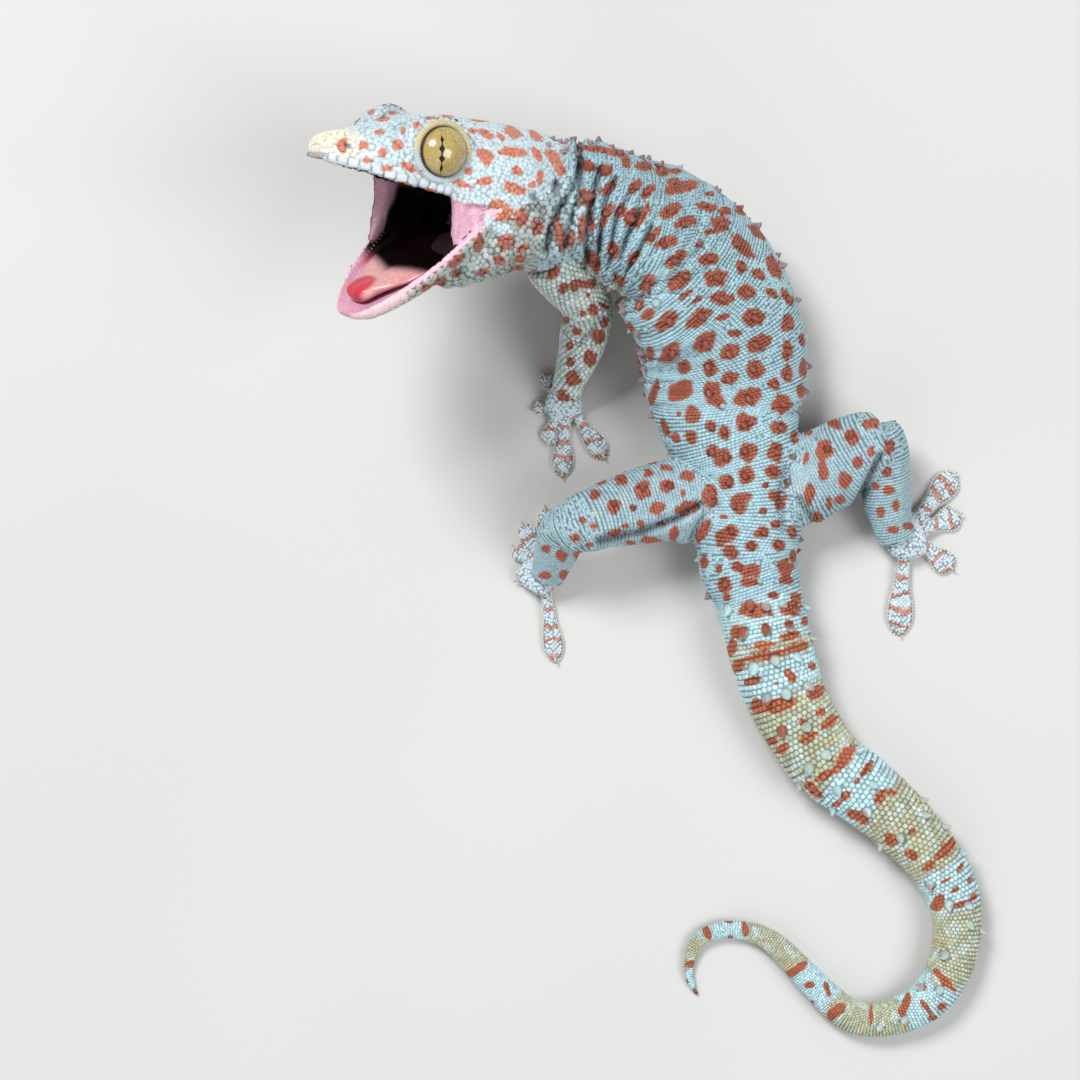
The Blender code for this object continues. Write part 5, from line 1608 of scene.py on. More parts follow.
        # Painted shade: the cheek skin inside the mouth turns black where it runs deep
        mix(Tone.DARK.light, (wall & know.inside) * ramp(-head_p[:, 2], 2.0, 4.0) * ramp(edge, 24.2, 26.2))
        jaw = (know.part == Part.JAW) & ~know.inside
        mix(Tone.JAW_RIM.light, jaw * ramp(jaw_p[:, 2], -1.15, -0.7))
        mix(Tone.JAW_TIP.light, jaw * ramp(jaw_p[:, 0], 21.5, 26) * ramp(jaw_p[:, 2], -3.2, -2.0))

    def bare(self, know: Knowledge) -> Array:
        """Which places carry no scales.

        Args:
            know: The places.

        Returns:
            A yes or no for each place.
        """
        skull = self.surface.skull
        head_p, jaw_p = skull.local(know.points), skull.jaw_local(know.points)
        u = -head_p[:, 0]
        out = know.inside.copy()
        out |= (know.part == Part.HEAD) & (head_p[:, 2] < -3.4) & (u > 20) & (u < 29.5)
        out |= (know.part == Part.JAW) & (jaw_p[:, 2] > -0.75)
        out |= (know.part == Part.JAW) & (jaw_p[:, 0] > 23.0) & (jaw_p[:, 2] > -2.6)
        for place, radii, _ in skull.pits:
            off = np.hypot((head_p[:, 0] - place[0]) / radii[0], (head_p[:, 2] - place[2]) / radii[1])
            out |= (know.part == Part.HEAD) & (off < 0.9) & (np.abs(np.abs(head_p[:, 1]) - place[1]) < 3.0)
        for side in (1, -1):
            local = (know.points - skull.eye_place(side)) @ skull.eye_basis(side)
            out |= (np.linalg.norm(local[:, :2], axis=1) < 6.1) & (local[:, 2] > -3.0)
        out |= know.points[:, 2] < 0.30
        return out


# Scales

@dataclass(frozen=True)
class Shape:
    """A scale's shape.

    Args:
        rings: Radius and height of each ring of points, from the root up.
        sides: Points in a ring.
        lean: How far it leans backwards.
        narrow: How much shorter its top is than its root, along its row's run.
        seam: Painted shade of the root, where it meets the next scale of its row and where it meets the next
            row.
        square: How far its outline is squared off, 0 to 1.
    """

    rings: tuple[tuple[float, float], ...]
    sides: int
    lean: float = 0.0
    seam: tuple[float, float] = (0.5, 0.5)
    square: float = 0.0
    narrow: float = 1.0


class Form(Enum):
    """Kinds of scale."""

    # The pair after each lean is the painted shade at the root, beside the next scale of its row and towards
    # the next row
    GRAIN = Shape(((1.0, -0.40), (0.90, 0.58)), 6, 0.0, (0.72, 0.20), 0.0, 0.72)
    COBBLE = Shape(((1.0, -0.50), (0.90, 0.50), (0.62, 0.90)), 7, 0.0, (0.72, 0.66))
    LAP = Shape(((1.0, -0.40), (0.84, 0.55), (0.50, 0.90)), 7, 0.30, (0.40, 0.26), 0.3)
    FINE = Shape(((1.0, -0.30), (0.82, 0.62)), 6, 0.0, (0.84, 0.62))
    TILE = Shape(((1.0, -0.40), (0.86, 0.52), (0.58, 0.92)), 8, 0.10, (0.40, 0.20), 0.6, 0.90)
    SHINGLE = Shape(((1.0, -0.30), (0.70, 0.66)), 7, 0.40, (0.16, 0.08))
    PLATE = Shape(((1.0, -0.90), (0.94, 0.40), (0.70, 0.90)), 16, 0.0, (0.70, 0.62), 0.80)
    CONE = Shape(((1.0, -0.12), (0.82, 0.22), (0.60, 0.50), (0.36, 0.76), (0.16, 0.93)), 10, 0.45,
                 (0.6, 0.5))
    THORN = Shape(((1.0, -0.12), (0.84, 0.22), (0.62, 0.48), (0.40, 0.72), (0.18, 0.91)), 10, 0.85,
                  (0.6, 0.5))


def template(form: Form) -> tuple[Array, Array, Array]:
    """Make one scale of unit size.

    Args:
        form: Its kind.

    Returns:
        Points, triangles and a painted shade for each point, darker at the root and lighter towards the top.
    """
    shape = form.value
    points, faces, shade = [], [], []
    for level, (r, h) in enumerate(shape.rings):
        for j in range(shape.sides):
            w = 2 * math.pi * (j + 0.5 * (level % 2)) / shape.sides
            c, d = math.cos(w), math.sin(w)
            wide = 1.0 + shape.square * (1.0 / max(abs(c), abs(d)) - 1.0) * 0.8
            x, y = r * wide * c * (shape.narrow if level else 1.0), r * wide * d
            lift = max(h, 0.0)
            points.append((x + shape.lean * lift * 0.6, y, h + shape.lean * x * 0.9 * lift))
            # Painted shade and light: the root is darkened where it meets its neighbours, and the rings above
            # grow lighter towards the top
            side, end = shape.seam
            seam = side * d * d + end * c * c
            shade.append(seam if level == 0 else (0.94, 1.02, 1.06, 1.10)[level - 1])
        if level:
            a, b = (level - 1) * shape.sides, level * shape.sides
            for j in range(shape.sides):
                k = (j + 1) % shape.sides
                if level % 2:
                    faces += [(a + j, a + k, b + j), (a + k, b + k, b + j)]
                else:
                    faces += [(a + j, a + k, b + k), (a + j, b + k, b + j)]
    points.append((shape.lean * 0.6, 0.0, 1.0))
    shade.append(1.10)
    last = (len(shape.rings) - 1) * shape.sides
    faces += [(last + j, last + (j + 1) % shape.sides, len(points) - 1) for j in range(shape.sides)]
    return np.array(points), np.array(faces), np.array(shade)


@dataclass
class Batch:
    """Scales of one form.

    Args:
        form: Their kind.
        know: Their places.
        out: Their outward directions.
        back: Their backward directions.
        size: Their half length, half width and height.
        gain: How bright each is.
        wash: A colour laid over each and its strength.
    """

    form: Form
    know: Knowledge
    out: Array
    back: Array
    size: Array
    gain: Array
    wash: Array


class Crowd:
    """Keeps scales apart, by cells of space."""

    def __init__(self, cell: float) -> None:
        """Start empty.

        Args:
            cell: Side of a cell in mm, at least the largest distance asked for.
        """
        self.cell = cell
        self.cells: dict[tuple[int, int, int], list[tuple[float, float, float, float]]] = {}

    def free(self, p: Sequence[float], reach: float) -> bool:
        """Tell whether nothing stands within a distance, counting each one's own size.

        Args:
            p: The place in mm.
            reach: The distance in mm.

        Returns:
            Whether it is free.
        """
        x, y, z = p
        i, j, k = int(x // self.cell), int(y // self.cell), int(z // self.cell)
        for a in (i - 1, i, i + 1):
            for b in (j - 1, j, j + 1):
                for c in (k - 1, k, k + 1):
                    for q in self.cells.get((a, b, c), ()):
                        r = reach + q[3]
                        if (x - q[0]) ** 2 + (y - q[1]) ** 2 + (z - q[2]) ** 2 < r * r:
                            return False
        return True

    def add(self, p: Sequence[float], half: float) -> None:
        """Put one in.

        Args:
            p: Its place in mm.
            half: Its size in mm.
        """
        x, y, z = p
        key = (int(x // self.cell), int(y // self.cell), int(z // self.cell))
        self.cells.setdefault(key, []).append((x, y, z, half))


# Distance between the middles of neighbouring scales, in mm
PITCHES = {
    Part.BODY: 0.68, Part.TAIL: 0.90, Part.HEAD: 0.94, Part.JAW: 0.98, Part.THROAT: 0.98, Part.ARM: 1.05,
    Part.LEG: 0.74, Part.FOOT: 0.74, Part.TOE: 0.56}


@dataclass
class Coat:
    """Every scale and tubercle on the skin.

    Args:
        surface: The skin.
        markings: Its colours.
        onset: Length over which the tail's larger scales set in, in mm.
        brown: Colour and strength of the wash over the brown tubercles.
        pale: The same over the pale ones.
        cell: Side of the cells of space that keep scales apart.
    """

    surface: Surface
    markings: Markings
    onset: float = 16.0
    brown: Array = field(default_factory=lambda: np.array([*Tone.BROWN_CONE.light, 0.75]))
    pale: Array = field(default_factory=lambda: np.array([*Tone.PALE_CONE.light, 0.75]))
    cell: float = 3.2

    def build(self) -> None:
        """Place the tubercles, the lips' plates, the rows of scales and what fills between them."""
        self.rng = np.random.default_rng(SEED + 1)
        self.crowd = Crowd(self.cell)
        self.batches: list[Batch] = []
        self.tubercles()
        self.lip_plates()
        self.fringes()
        self.rows_of_scales()
        self.fill()

    def land(self, points: Array, out: Array, limit: float) -> tuple[Array, Array, Array]:
        """Drop places onto the skin.

        Args:
            points: Places near it.
            out: Outward directions.
            limit: How far a place may be from the skin in mm.

        Returns:
            Places on the skin, their outward directions, and which of them are near enough.
        """
        hit = np.empty_like(points)
        direction = np.empty_like(points)
        good = np.zeros(len(points), bool)
        for i, p in enumerate(points):
            place, normal, _, _ = self.surface.tree.find_nearest(Vector(p), limit)
            if place is not None and normal.dot(Vector(out[i])) > 0.3:
                hit[i], direction[i], good[i] = place, normal, True
        return hit, direction, good

    def add(self, form: Form, know: Knowledge, out: Array, back: Array, size: Array,
            wash: Array | None = None) -> None:
        """Keep a batch of scales.

        Args:
            form: Their kind.
            know: Their places.
            out: Their outward directions.
            back: Their backward directions.
            size: Their half length, half width and height.
            wash: A colour over each and its strength, if any.
        """
        back = unit(back - out * (back * out).sum(1)[:, None])
        uneven = 0.12 if form in (Form.TILE, Form.SHINGLE) else 0.06
        gain = 1 + uneven * self.rng.normal(0, 1, len(out)).clip(-1.6, 1.6)
        if wash is None:
            wash = np.zeros((len(out), 4))
        self.batches.append(Batch(form, know, out, back, size, gain, wash))

    def tubercles(self) -> None:
        """Cones that the drawing shows, others like them on the hidden side, and pointed ones on the tail."""
        surface = self.surface
        rows = self.drawn_tubercles() + self.hidden_tubercles()
        keep = []
        for row in rows:
            if self.crowd.free(row[:3], row[6] * 0.8):
                self.crowd.add(row[:3], row[6] * 0.8)
                keep.append(row)
        table = np.array(keep)
        hit, direction, size, high, dark = table[:, :3], table[:, 3:6], table[:, 6], table[:, 7], table[:, 8]
        know = surface.knowledge(hit)
        wash = np.where((dark > 0.5)[:, None], self.brown, self.pale)
        tail = know.part == Part.TAIL
        wash[tail, 3] *= 0.7
        for form, mask in ((Form.CONE, ~tail), (Form.THORN, tail)):
            sizes = np.stack([size[mask], size[mask], high[mask]], 1)
            self.add(form, know.some(mask), direction[mask], know.tangent[mask], sizes, wash[mask])

    def drawn_tubercles(self) -> list[tuple[float, ...]]:
        """Find the skin under every tubercle of the tables.

        Returns:
            Place, outward direction, half width, height and whether it is brown, of each.
        """
        surface = self.surface
        rows = []
        eye = Vector((CENTRE_X, CENTRE_Y, EYE_HEIGHT))
        for table, dark in ((BROWN_TUBERCLES, 1.0), (PALE_TUBERCLES, 0.0)):
            for px, py, radius in table:
                aim = (Vector(at(px, py, 0.0)) - eye).normalized()
                place, normal, _, _ = surface.tree.ray_cast(eye, aim)
                lower = 0
                while py < 160 and (place is None or place.z < 1.5) and lower < 24:
                    lower += 2
                    aim = (Vector(at(px, py + lower, 0.0)) - eye).normalized()
                    place, normal, _, _ = surface.tree.ray_cast(eye, aim)
                if place is not None and place.z > 1.5:
                    gain = 1.2 if py > 600 else 1.1 if py < 160 else 0.84 if dark else 0.74
                    size = radius / UNITS * gain
                    tall = 1.35 if py > 600 else 1.18 if dark else 1.0 if py > 540 else 0.62
                    rows.append((*place, *normal, size, size * tall, dark))
        return rows

    def hidden_tubercles(self) -> list[tuple[float, ...]]:
        """Place tubercles on the sides that the drawing doesn't show, and in rings round the tail.

        Returns:
            Rows like those of the drawn ones.
        """
        marks, surface, rng = self.markings, self.surface, self.rng
        trunk = surface.wraps[0]
        s, angle, size, dark = [], [], [], []
        for i in range(len(marks.spot_s)):
            shown = bool(marks.spot_shown[i])
            s.append(marks.spot_s[i])
            angle.append(marks.spot_angle[i])
            size.append((0.95 if shown else 0.72) * (0.88 + 0.24 * rng.random()))
            dark.append(1.0 if shown else 0.0)
        tail_s = surface.trunk.tail_s
        at_s = tail_s + 4.0
        while at_s < surface.trunk.length - 22:
            girth = trunk.girth(at_s)
            count = 6 if girth > 26 else 4
            for k in range(count):
                s.append(at_s + rng.normal(0, 0.2))
                apart = 0.50 if count == 6 else 0.62
                angle.append(math.pi / 2 + (k - (count - 1) / 2) * apart + rng.normal(0, 0.03))
                size.append(min(1.05, girth * 0.026 + 0.2))
                dark.append(0.0)
            at_s += surface.trunk.whorl
        points, out, _ = trunk.place(np.array(s), np.array(angle))
        hit, direction, good = self.land(points, out, 1.6)
        rows = []
        for i in np.nonzero(good)[0]:
            if -0.75 < direction[i][2] <= 0.34 and hit[i][2] > 1.2:
                rows.append((*hit[i], *direction[i], size[i], size[i] * 1.3, dark[i]))
        return rows

    def lip_plates(self) -> None:
        """The large plates along the upper and lower lips."""
        skull = self.surface.skull
        upper, lower = np.array(skull.rows).T, np.array(skull.jaw_rows)[::-1].T
        points, out, back, size = [], [], [], []
        for side in (1, -1):
            u = 1.2
            while u < (23.6 if side > 0 else 19.6):
                length = 1.45 + 0.75 * math.sin(min(u, 20) / 20 * math.pi)
                w, lip = (float(np.interp(u, upper[0], upper[k])) for k in (1, 3))
                points.append(skull.world((-u, side * (w - 0.1), lip + 1.0)))
                out.append(skull.basis @ np.array([0.35 * (1 - min(u / 10, 1)), side, -0.1]))
                back.append(-skull.basis[:, 0])
                size.append((length * 0.53, 0.88, 0.17))
                u += length * 1.04
            v = 24.0
            while v > 3.0:
                w = float(np.interp(v, lower[0], lower[1]))
                length = 1.5
                points.append(skull.jaw_world((v, side * (w + 0.05), -1.55)))
                out.append(skull.jaw_world((v, side * (w + 1.0), -2.4)) - points[-1])
                back.append(skull.jaw_world((v - 1, side * w, -2.3)) - points[-1])
                size.append((length * 0.52, 0.74, 0.22))
                v -= length * 1.04
        points, out, back, size = np.array(points), unit(np.array(out)), unit(np.array(back)), np.array(size)
        hit, direction, good = self.land(points, out, 1.6)
        hit, direction, back, size = hit[good], direction[good], back[good], size[good]
        for p, run, half in zip(hit, back, size[:, 0]):
            for step in (-0.5, 0.0, 0.5):
                self.crowd.add(p + run * half * step, 0.50)
        know = self.surface.knowledge(hit)
        know.inside[:] = False
        self.add(Form.PLATE, know, direction, back, size)

    @staticmethod
    def pitch(know: Knowledge, skull: Skull) -> Array:
        """Distance between scales at places on the skin, in mm.

        Args:
            know: The places.
            skull: The head's shapes.

        Returns:
            One distance for each place.
        """
        out = np.array([PITCHES[part] for part in Part])[know.part]
        under = ramp(-np.sin(know.angle), 0.55, 0.85)
        back = -skull.local(know.points)[:, 0]
        out = out + 0.6 * under * (know.part == Part.BODY)
        return out - 0.16 * ramp(back, 10, 30) * (know.part == Part.HEAD)

    def rows_of_scales(self) -> None:
        """Regular rows round the body, the tail and the legs."""
        for wrap in self.surface.wraps:
            if wrap.name != "trunk" and wrap.part not in (Part.ARM, Part.LEG):
                continue
            s_list, angle_list = [], []
            s, row = 1.0, 0
            while s < wrap.along[-1] - 0.4:
                girth = wrap.girth(s)
                if wrap.name == "trunk":
                    tail = s > self.surface.trunk.tail_s
                    grown = min(1.0, max(0.0, (s - self.surface.trunk.tail_s) / self.onset))
                    wide = 0.80 + (min(1.12, max(0.55, girth / 34.0)) - 0.80) * grown
                    step = wide * (0.87 + 0.08 * grown)
                else:
                    wide = 1.08 if wrap.part == Part.ARM else 0.78
                    step = wide * 0.90
                count = max(6, round(girth / wide))
                turn = (np.arange(count) + 0.5 * (row % 2)) * 2 * math.pi / count
                if wrap.name == "trunk" and not tail:
                    turn = turn[np.sin(turn) > -0.66]
                s_list.append(np.full(len(turn), s))
                angle_list.append(turn)
                s += step
                row += 1
            s, angle = np.concatenate(s_list), np.concatenate(angle_list)
            s = s + self.rng.normal(0, 0.03, len(s))
            points, out, along = wrap.place(s, angle)
            self.settle(points, out, along, 1.3 if wrap.name == "trunk" else 0.9)

    def settle(self, points: Array, out: Array, along: Array, limit: float) -> None:
        """Put scales on the skin where there is room.

        Args:
            points: Places near the skin.
            out: Outward directions.
            along: Directions along the tube.
            limit: How far a place may be from the skin in mm.
        """
        hit, direction, good = self.land(points, out, limit)
        hit, direction, along = hit[good], direction[good], along[good]
        if not len(hit):
            return
        know = self.surface.knowledge(hit)
        pitch = self.pitch(know, self.surface.skull)
        bare = self.markings.bare(know)
        tail = know.part == Part.TAIL
        trunk = self.surface.wraps[0]
        girth = np.interp(know.s, trunk.along, [trunk.girth(v) for v in trunk.along])
        grown = np.clip((know.s - self.surface.trunk.tail_s) / self.onset, 0, 1)
        pitch = np.where(tail, 0.70 + (np.clip(girth / 34.0, 0.55, 1.12) - 0.70) * grown, pitch)
        keep = []
        for i in range(len(hit)):
            half = pitch[i] * 0.36
            if not bare[i] and self.crowd.free(hit[i], half):
                self.crowd.add(hit[i], half)
                keep.append(i)
        keep = np.array(keep, int)
        self.grow(know.some(keep), hit[keep], direction[keep], along[keep], pitch[keep])

    def grow(self, know: Knowledge, hit: Array, out: Array, along: Array, pitch: Array) -> None:
        """Give scales that have a place their form, size and colour.

        Args:
            know: What is known of the places.
            hit: The places in mm.
            out: Outward directions.
            along: Directions of the rows.
            pitch: Distances between scales.
        """
        know.points = hit
        arm = know.part == Part.ARM
        set_in = self.surface.trunk.tail_s + self.onset * self.rng.random(len(hit))
        tail = (know.part == Part.TAIL) & (know.s > set_in)
        cobble = know.part == Part.HEAD
        lap = (know.part == Part.JAW) | (know.part == Part.THROAT)
        fine = (know.part == Part.TOE) | (know.part == Part.FOOT)
        grain = ~arm & ~cobble & ~tail & ~fine & ~lap
        shapes = ((arm, Form.SHINGLE, (0.64, 0.60, 0.30)), (cobble, Form.COBBLE, (0.66, 0.66, 0.12)),
                  (lap, Form.LAP, (0.64, 0.64, 0.18)), (tail, Form.TILE, (0.52, 0.52, 0.20)),
                  (grain, Form.GRAIN, (0.58, 0.84, 0.18)), (fine, Form.FINE, (0.62, 0.64, 0.14)))
        for mask, form, (length, width, height) in shapes:
            if mask.any():
                vary = 1 + 0.08 * self.rng.normal(0, 1, int(mask.sum())).clip(-1.5, 1.5)
                size = np.stack([pitch[mask] * part * vary for part in (length, width, height)], 1)
                size[:, 2] = np.minimum(size[:, 2], 0.36)
                self.add(form, know.some(mask), out[mask], along[mask], size)

    def fringes(self) -> None:
        """Pale pointed scales along both edges of every toe's pad."""
        for wrap in self.surface.wraps:
            if wrap.part != Part.TOE:
                continue
            s = np.arange(0.36 * wrap.along[-1], 0.99 * wrap.along[-1], 0.62)
            s, angle = np.concatenate([s, s + 0.31]), np.repeat([0.12, math.pi - 0.12], len(s))
            points, out, along = wrap.place(s, angle)
            hit, _, good = self.land(points, out, 0.8)
            good &= hit[:, 2] > 0.35
            know = self.surface.knowledge(hit[good])
            side = unit(out[good] * np.array([1.0, 1.0, 0.0]))
            size = np.tile([0.30, 0.26, 0.30], (len(side), 1))
            cream = np.tile([*Tone.FRINGE.light, 0.6], (len(side), 1))
            for spot in hit[good]:
                self.crowd.add(spot, 0.22)
            self.add(Form.CONE, know, side, along[good], size, cream)

    def fill(self) -> None:
        """Fill every place that the rows leave, on the head and the feet above all."""
        surface = self.surface
        know = surface.known
        pitch = self.pitch(know, surface.skull)
        bare = self.markings.bare(know)
        order = self.rng.permutation(len(know.points))
        keep = []
        for i in order:
            half = pitch[i] * 0.42
            if not bare[i] and self.crowd.free(surface.points[i], half):
                self.crowd.add(surface.points[i], half)
                keep.append(i)
        keep = np.array(keep)
        some = surface.known.some(keep)
        some.points = surface.points[keep]
        self.grow(some, surface.points[keep], surface.normals[keep], some.tangent, pitch[keep] * 1.06)

    def pieces(self, finish: bpy.types.Material, most: int = 190000) -> list[bpy.types.Object]:
        """Make the meshes, none over a number of triangles.

        Args:
            finish: Their material.
            most: The most triangles of a piece.

        Returns:
            The objects.
        """
        made = []
        for form in Form:
            group = [b for b in self.batches if b.form is form]
            if not group:
                continue
            know = Knowledge.joined([b.know for b in group])
            out, back, size, gain, wash = (np.concatenate([getattr(b, n) for b in group])
                                           for n in ("out", "back", "size", "gain", "wash"))
            order = np.argsort(-know.points[:, 1])
            base, tris, shade = template(form)
            each = most // len(tris)
            for start in range(0, len(order), each):
                pick = order[start:start + each]
                some = know.some(pick)
                axes = np.stack([back[pick], np.cross(out[pick], back[pick]), out[pick]], 1)
                grown = np.einsum("nki,nij->nkj", base[None] * size[pick][:, None], axes)
                points = some.points[:, None] + grown
                points[..., 2] = np.maximum(points[..., 2], 0.02)
                n, k = points.shape[:2]
                faces = (tris[None] + (np.arange(n) * k)[:, None, None]).reshape(-1, 3)
                up = np.repeat(out[pick][:, 2], k)
                colours = self.markings.colour(some.spread(k, points.reshape(-1, 3)), up).reshape(n, k, 3)
                over = wash[pick][:, None]
                colours = colours * (1 - over[..., 3:]) + over[..., :3] * over[..., 3:]
                # Painted shade and light of each scale's form, then each scale's own random brightness
                colours = colours * shade[None, :, None] * gain[pick][:, None, None]
                name = "scales_%s_%d" % (form.name.lower(), start // each + 1)
                obj = new_object(name, points.reshape(-1, 3), faces, finish, colours.reshape(-1, 3))
                self.bake_map(obj, some, base)
                made.append(obj)
                LOG.info("%s: %d scales, %d triangles", name, n, len(faces))
        return made

    def bake_map(self, obj: bpy.types.Object, know: Knowledge, base: Array) -> None:
        """Give each scale a small patch at its root's place on the skin's unwrap.

        Args:
            obj: The piece.
            know: The roots of its scales.
            base: The points of one scale of unit size.
        """
        count = len(self.surface.wraps)
        lanes = 6
        lane, slot = know.wrap % lanes, know.wrap // lanes
        slots = count // lanes + 1
        span = np.array([w.along[-1] for w in self.surface.wraps])[know.wrap]
        u = (slot + 0.05 + 0.9 * np.clip(know.s / span, 0, 1)) / slots
        v = (lane + 0.05 + 0.9 * (know.angle / (2 * math.pi) % 1.0)) / lanes
        patch = base[:, :2] * 0.0015
        uv = np.stack([u, v], 1)[:, None] + patch[None]
        corner = np.empty(len(obj.data.loops), int)
        obj.data.loops.foreach_get("vertex_index", corner)
        layer = obj.data.uv_layers.new(name="OFBake")
        layer.data.foreach_set("uv", uv.reshape(-1, 2)[corner].reshape(-1).astype(np.float32))


# Meshes and finishes

def fill_mesh(mesh: bpy.types.Mesh, points: Array, faces: Array) -> None:
    """Fill an empty mesh quickly from arrays of equal-sided faces.

    Args:
        mesh: The empty mesh.
        points: Its points.
        faces: Its faces.
    """
    sides = faces.shape[1]
    mesh.vertices.add(len(points))
    mesh.vertices.foreach_set("co", points.astype(np.float32).reshape(-1))
    mesh.loops.add(faces.size)
    mesh.loops.foreach_set("vertex_index", faces.astype(np.int32).reshape(-1))
    mesh.polygons.add(len(faces))
    mesh.polygons.foreach_set("loop_start", np.arange(0, faces.size, sides, dtype=np.int32))
    mesh.update(calc_edges=True)
    mesh.validate()


def link(name: str, data: bpy.types.ID) -> bpy.types.Object:
    """Put an object into the scene.

    Args:
        name: The object's name.
        data: What it shows.

    Returns:
        The object.
    """
    obj = bpy.data.objects.new(name, data)
    bpy.context.scene.collection.objects.link(obj)
    return obj


def new_object(name: str, points: Array, faces: Array, finish: bpy.types.Material,
               colours: Array | None = None) -> bpy.types.Object:
    """Make a smooth object from points in mm.

    Args:
        name: Its name.
        points: Its points.
        faces: Its faces, all with the same number of sides.
        finish: Its material.
        colours: A colour for each point, if it has any.

    Returns:
        The object.
    """
    mesh = bpy.data.meshes.new(name)
    fill_mesh(mesh, points * MM, faces)
    mesh.shade_smooth()
    mesh.materials.append(finish)
    if colours is not None:
        layer = mesh.color_attributes.new("markings", "FLOAT_COLOR", "POINT")
        rgba = np.ones((len(points), 4), np.float32)
        rgba[:, :3] = np.clip(colours, 0, 1)
        layer.data.foreach_set("color", rgba.reshape(-1))
    return link(name, mesh)


class Wires:
    """Builds a material's nodes."""

    def __init__(self, name: str) -> None:
        """Start a material with one shader.

        Args:
            name: The material's name.
        """
        self.material = bpy.data.materials.new(name)
        self.material.use_nodes = True
        self.tree = self.material.node_tree
        self.shader = self.tree.nodes["Principled BSDF"]
        self.place = self.tree.nodes.new("ShaderNodeTexCoord").outputs["Object"]

    def node(self, kind: str, **values: float) -> bpy.types.Node:
        """Add a node and set some of its sockets.

        Args:
            kind: Its type, without the prefix.
            values: Its settings.

        Returns:
            The node.
        """
        node = self.tree.nodes.new("ShaderNode" + kind)
        for socket, value in values.items():
            node.inputs[socket].default_value = value
        return node

    def put(self, socket: str, value: Socket | Sequence[float] | float) -> None:
        """Set or link a socket of the shader.

        Args:
            socket: The socket's name.
            value: What goes into it.
        """
        if isinstance(value, Socket):
            self.tree.links.new(value, self.shader.inputs[socket])
        elif isinstance(value, (tuple, list, np.ndarray)):
            self.shader.inputs[socket].default_value = (*value, 1.0)
        else:
            self.shader.inputs[socket].default_value = value

    def attribute(self, name: str) -> Socket:
        """Colour held on the mesh.

        Args:
            name: The attribute's name.

        Returns:
            Its colour.
        """
        node = self.node("Attribute")
        node.attribute_name = name
        return node.outputs["Color"]

    def math(self, kind: str, a: Socket | float, b: Socket | float = 0.0, clamp: bool = False) -> Socket:
        """One sum of two numbers or sockets.

        Args:
            kind: The operation.
            a: The first value.
            b: The second value.
            clamp: Whether the result stays within 0 and 1.

        Returns:
            The result.
        """
        node = self.node("Math")
        node.operation = kind
        node.use_clamp = clamp
        for slot, value in ((0, a), (1, b)):
            if isinstance(value, Socket):
                self.tree.links.new(value, node.inputs[slot])
            else:
                node.inputs[slot].default_value = value
        return node.outputs[0]

    def noise(self, scale: float, detail: float = 3.0, roughness: float = 0.55,
              vector: Socket | None = None) -> Socket:
        """Uneven pattern in space.

        Args:
            scale: Repeats in a metre.
            detail: Number of octaves.
            roughness: Weight of the finer octaves.
            vector: Where to look it up, if not in space.

        Returns:
            A number, 0 to 1.
        """
        node = self.node("TexNoise", Scale=scale, Detail=detail, Roughness=roughness)
        self.tree.links.new(vector or self.place, node.inputs["Vector"])
        return node.outputs["Fac"]

    def cells(self, scale: float) -> Socket:
        """Cell pattern in space, 0 at the middle of each cell.

        Args:
            scale: Cells in a metre.

        Returns:
            The distance from a cell's middle.
        """
        node = self.node("TexVoronoi", Scale=scale)
        self.tree.links.new(self.place, node.inputs["Vector"])
        return node.outputs["Distance"]

    def ramp(self, value: Socket, stops: Sequence[tuple[float, Sequence[float]]]) -> Socket:
        """Colours along a number.

        Args:
            value: The number.
            stops: Places and their colours.

        Returns:
            The colour.
        """
        node = self.node("ValToRGB")
        ramp_ = node.color_ramp
        while len(ramp_.elements) < len(stops):
            ramp_.elements.new(0.5)
        for element, (place, colour) in zip(ramp_.elements, stops):
            element.position = place
            element.color = (*colour, 1.0)
        self.tree.links.new(value, node.inputs["Fac"])
        return node.outputs["Color"]

    def mix(self, kind: str, amount: float, a: Socket, b: Socket) -> Socket:
        """Mix of two colours.

        Args:
            kind: The way of mixing.
            amount: Its strength.
            a: The first colour.
            b: The second colour.

        Returns:
            The mixed colour.
        """
        node = self.node("Mix")
        node.data_type = "RGBA"
        node.blend_type = kind
        node.inputs["Factor"].default_value = amount
        for slot, value in (("A", a), ("B", b)):
            socket = next(s for s in node.inputs if s.name == slot and s.type == "RGBA")
            self.tree.links.new(value, socket)
        return next(s for s in node.outputs if s.type == "RGBA")

    def bump(self, height: Socket, strength: float, distance: float) -> None:
        """Fine relief from a number.

        Args:
            height: The number.
            strength: How strongly it shows.
            distance: Its depth in metres.
        """
        node = self.node("Bump", Strength=strength, Distance=distance)
        self.tree.links.new(height, node.inputs["Height"])
        self.tree.links.new(node.outputs["Normal"], self.shader.inputs["Normal"])


@dataclass(frozen=True)
class HideFinish:
    """Dry skin or scales: the markings, a little uneven, with fine relief.

    Args:
        name: Name of the material.
        roughness: How dull it is.
        grain: Repeats of its relief in a metre.
        darker: How far its crannies darken.
        gloss: How much light it mirrors.
    """

    name: str
    roughness: float
    grain: float
    darker: float
    gloss: float

    def make(self) -> bpy.types.Material:
        """Build the material.

        Returns:
            The material.
        """
        w = Wires(self.name)
        uneven = w.noise(self.grain * 0.35, 4.0)
        stain = w.ramp(uneven, ((0.30, (1 - self.darker,) * 3), (0.62, (1.0, 1.0, 1.0))))
        w.put("Base Color", w.mix("MULTIPLY", 1.0, w.attribute("markings"), stain))
        w.put("Roughness", self.roughness)
        w.put("Specular IOR Level", self.gloss)
        w.bump(w.noise(self.grain, 3.0), 0.35, 0.00006)
        return w.material


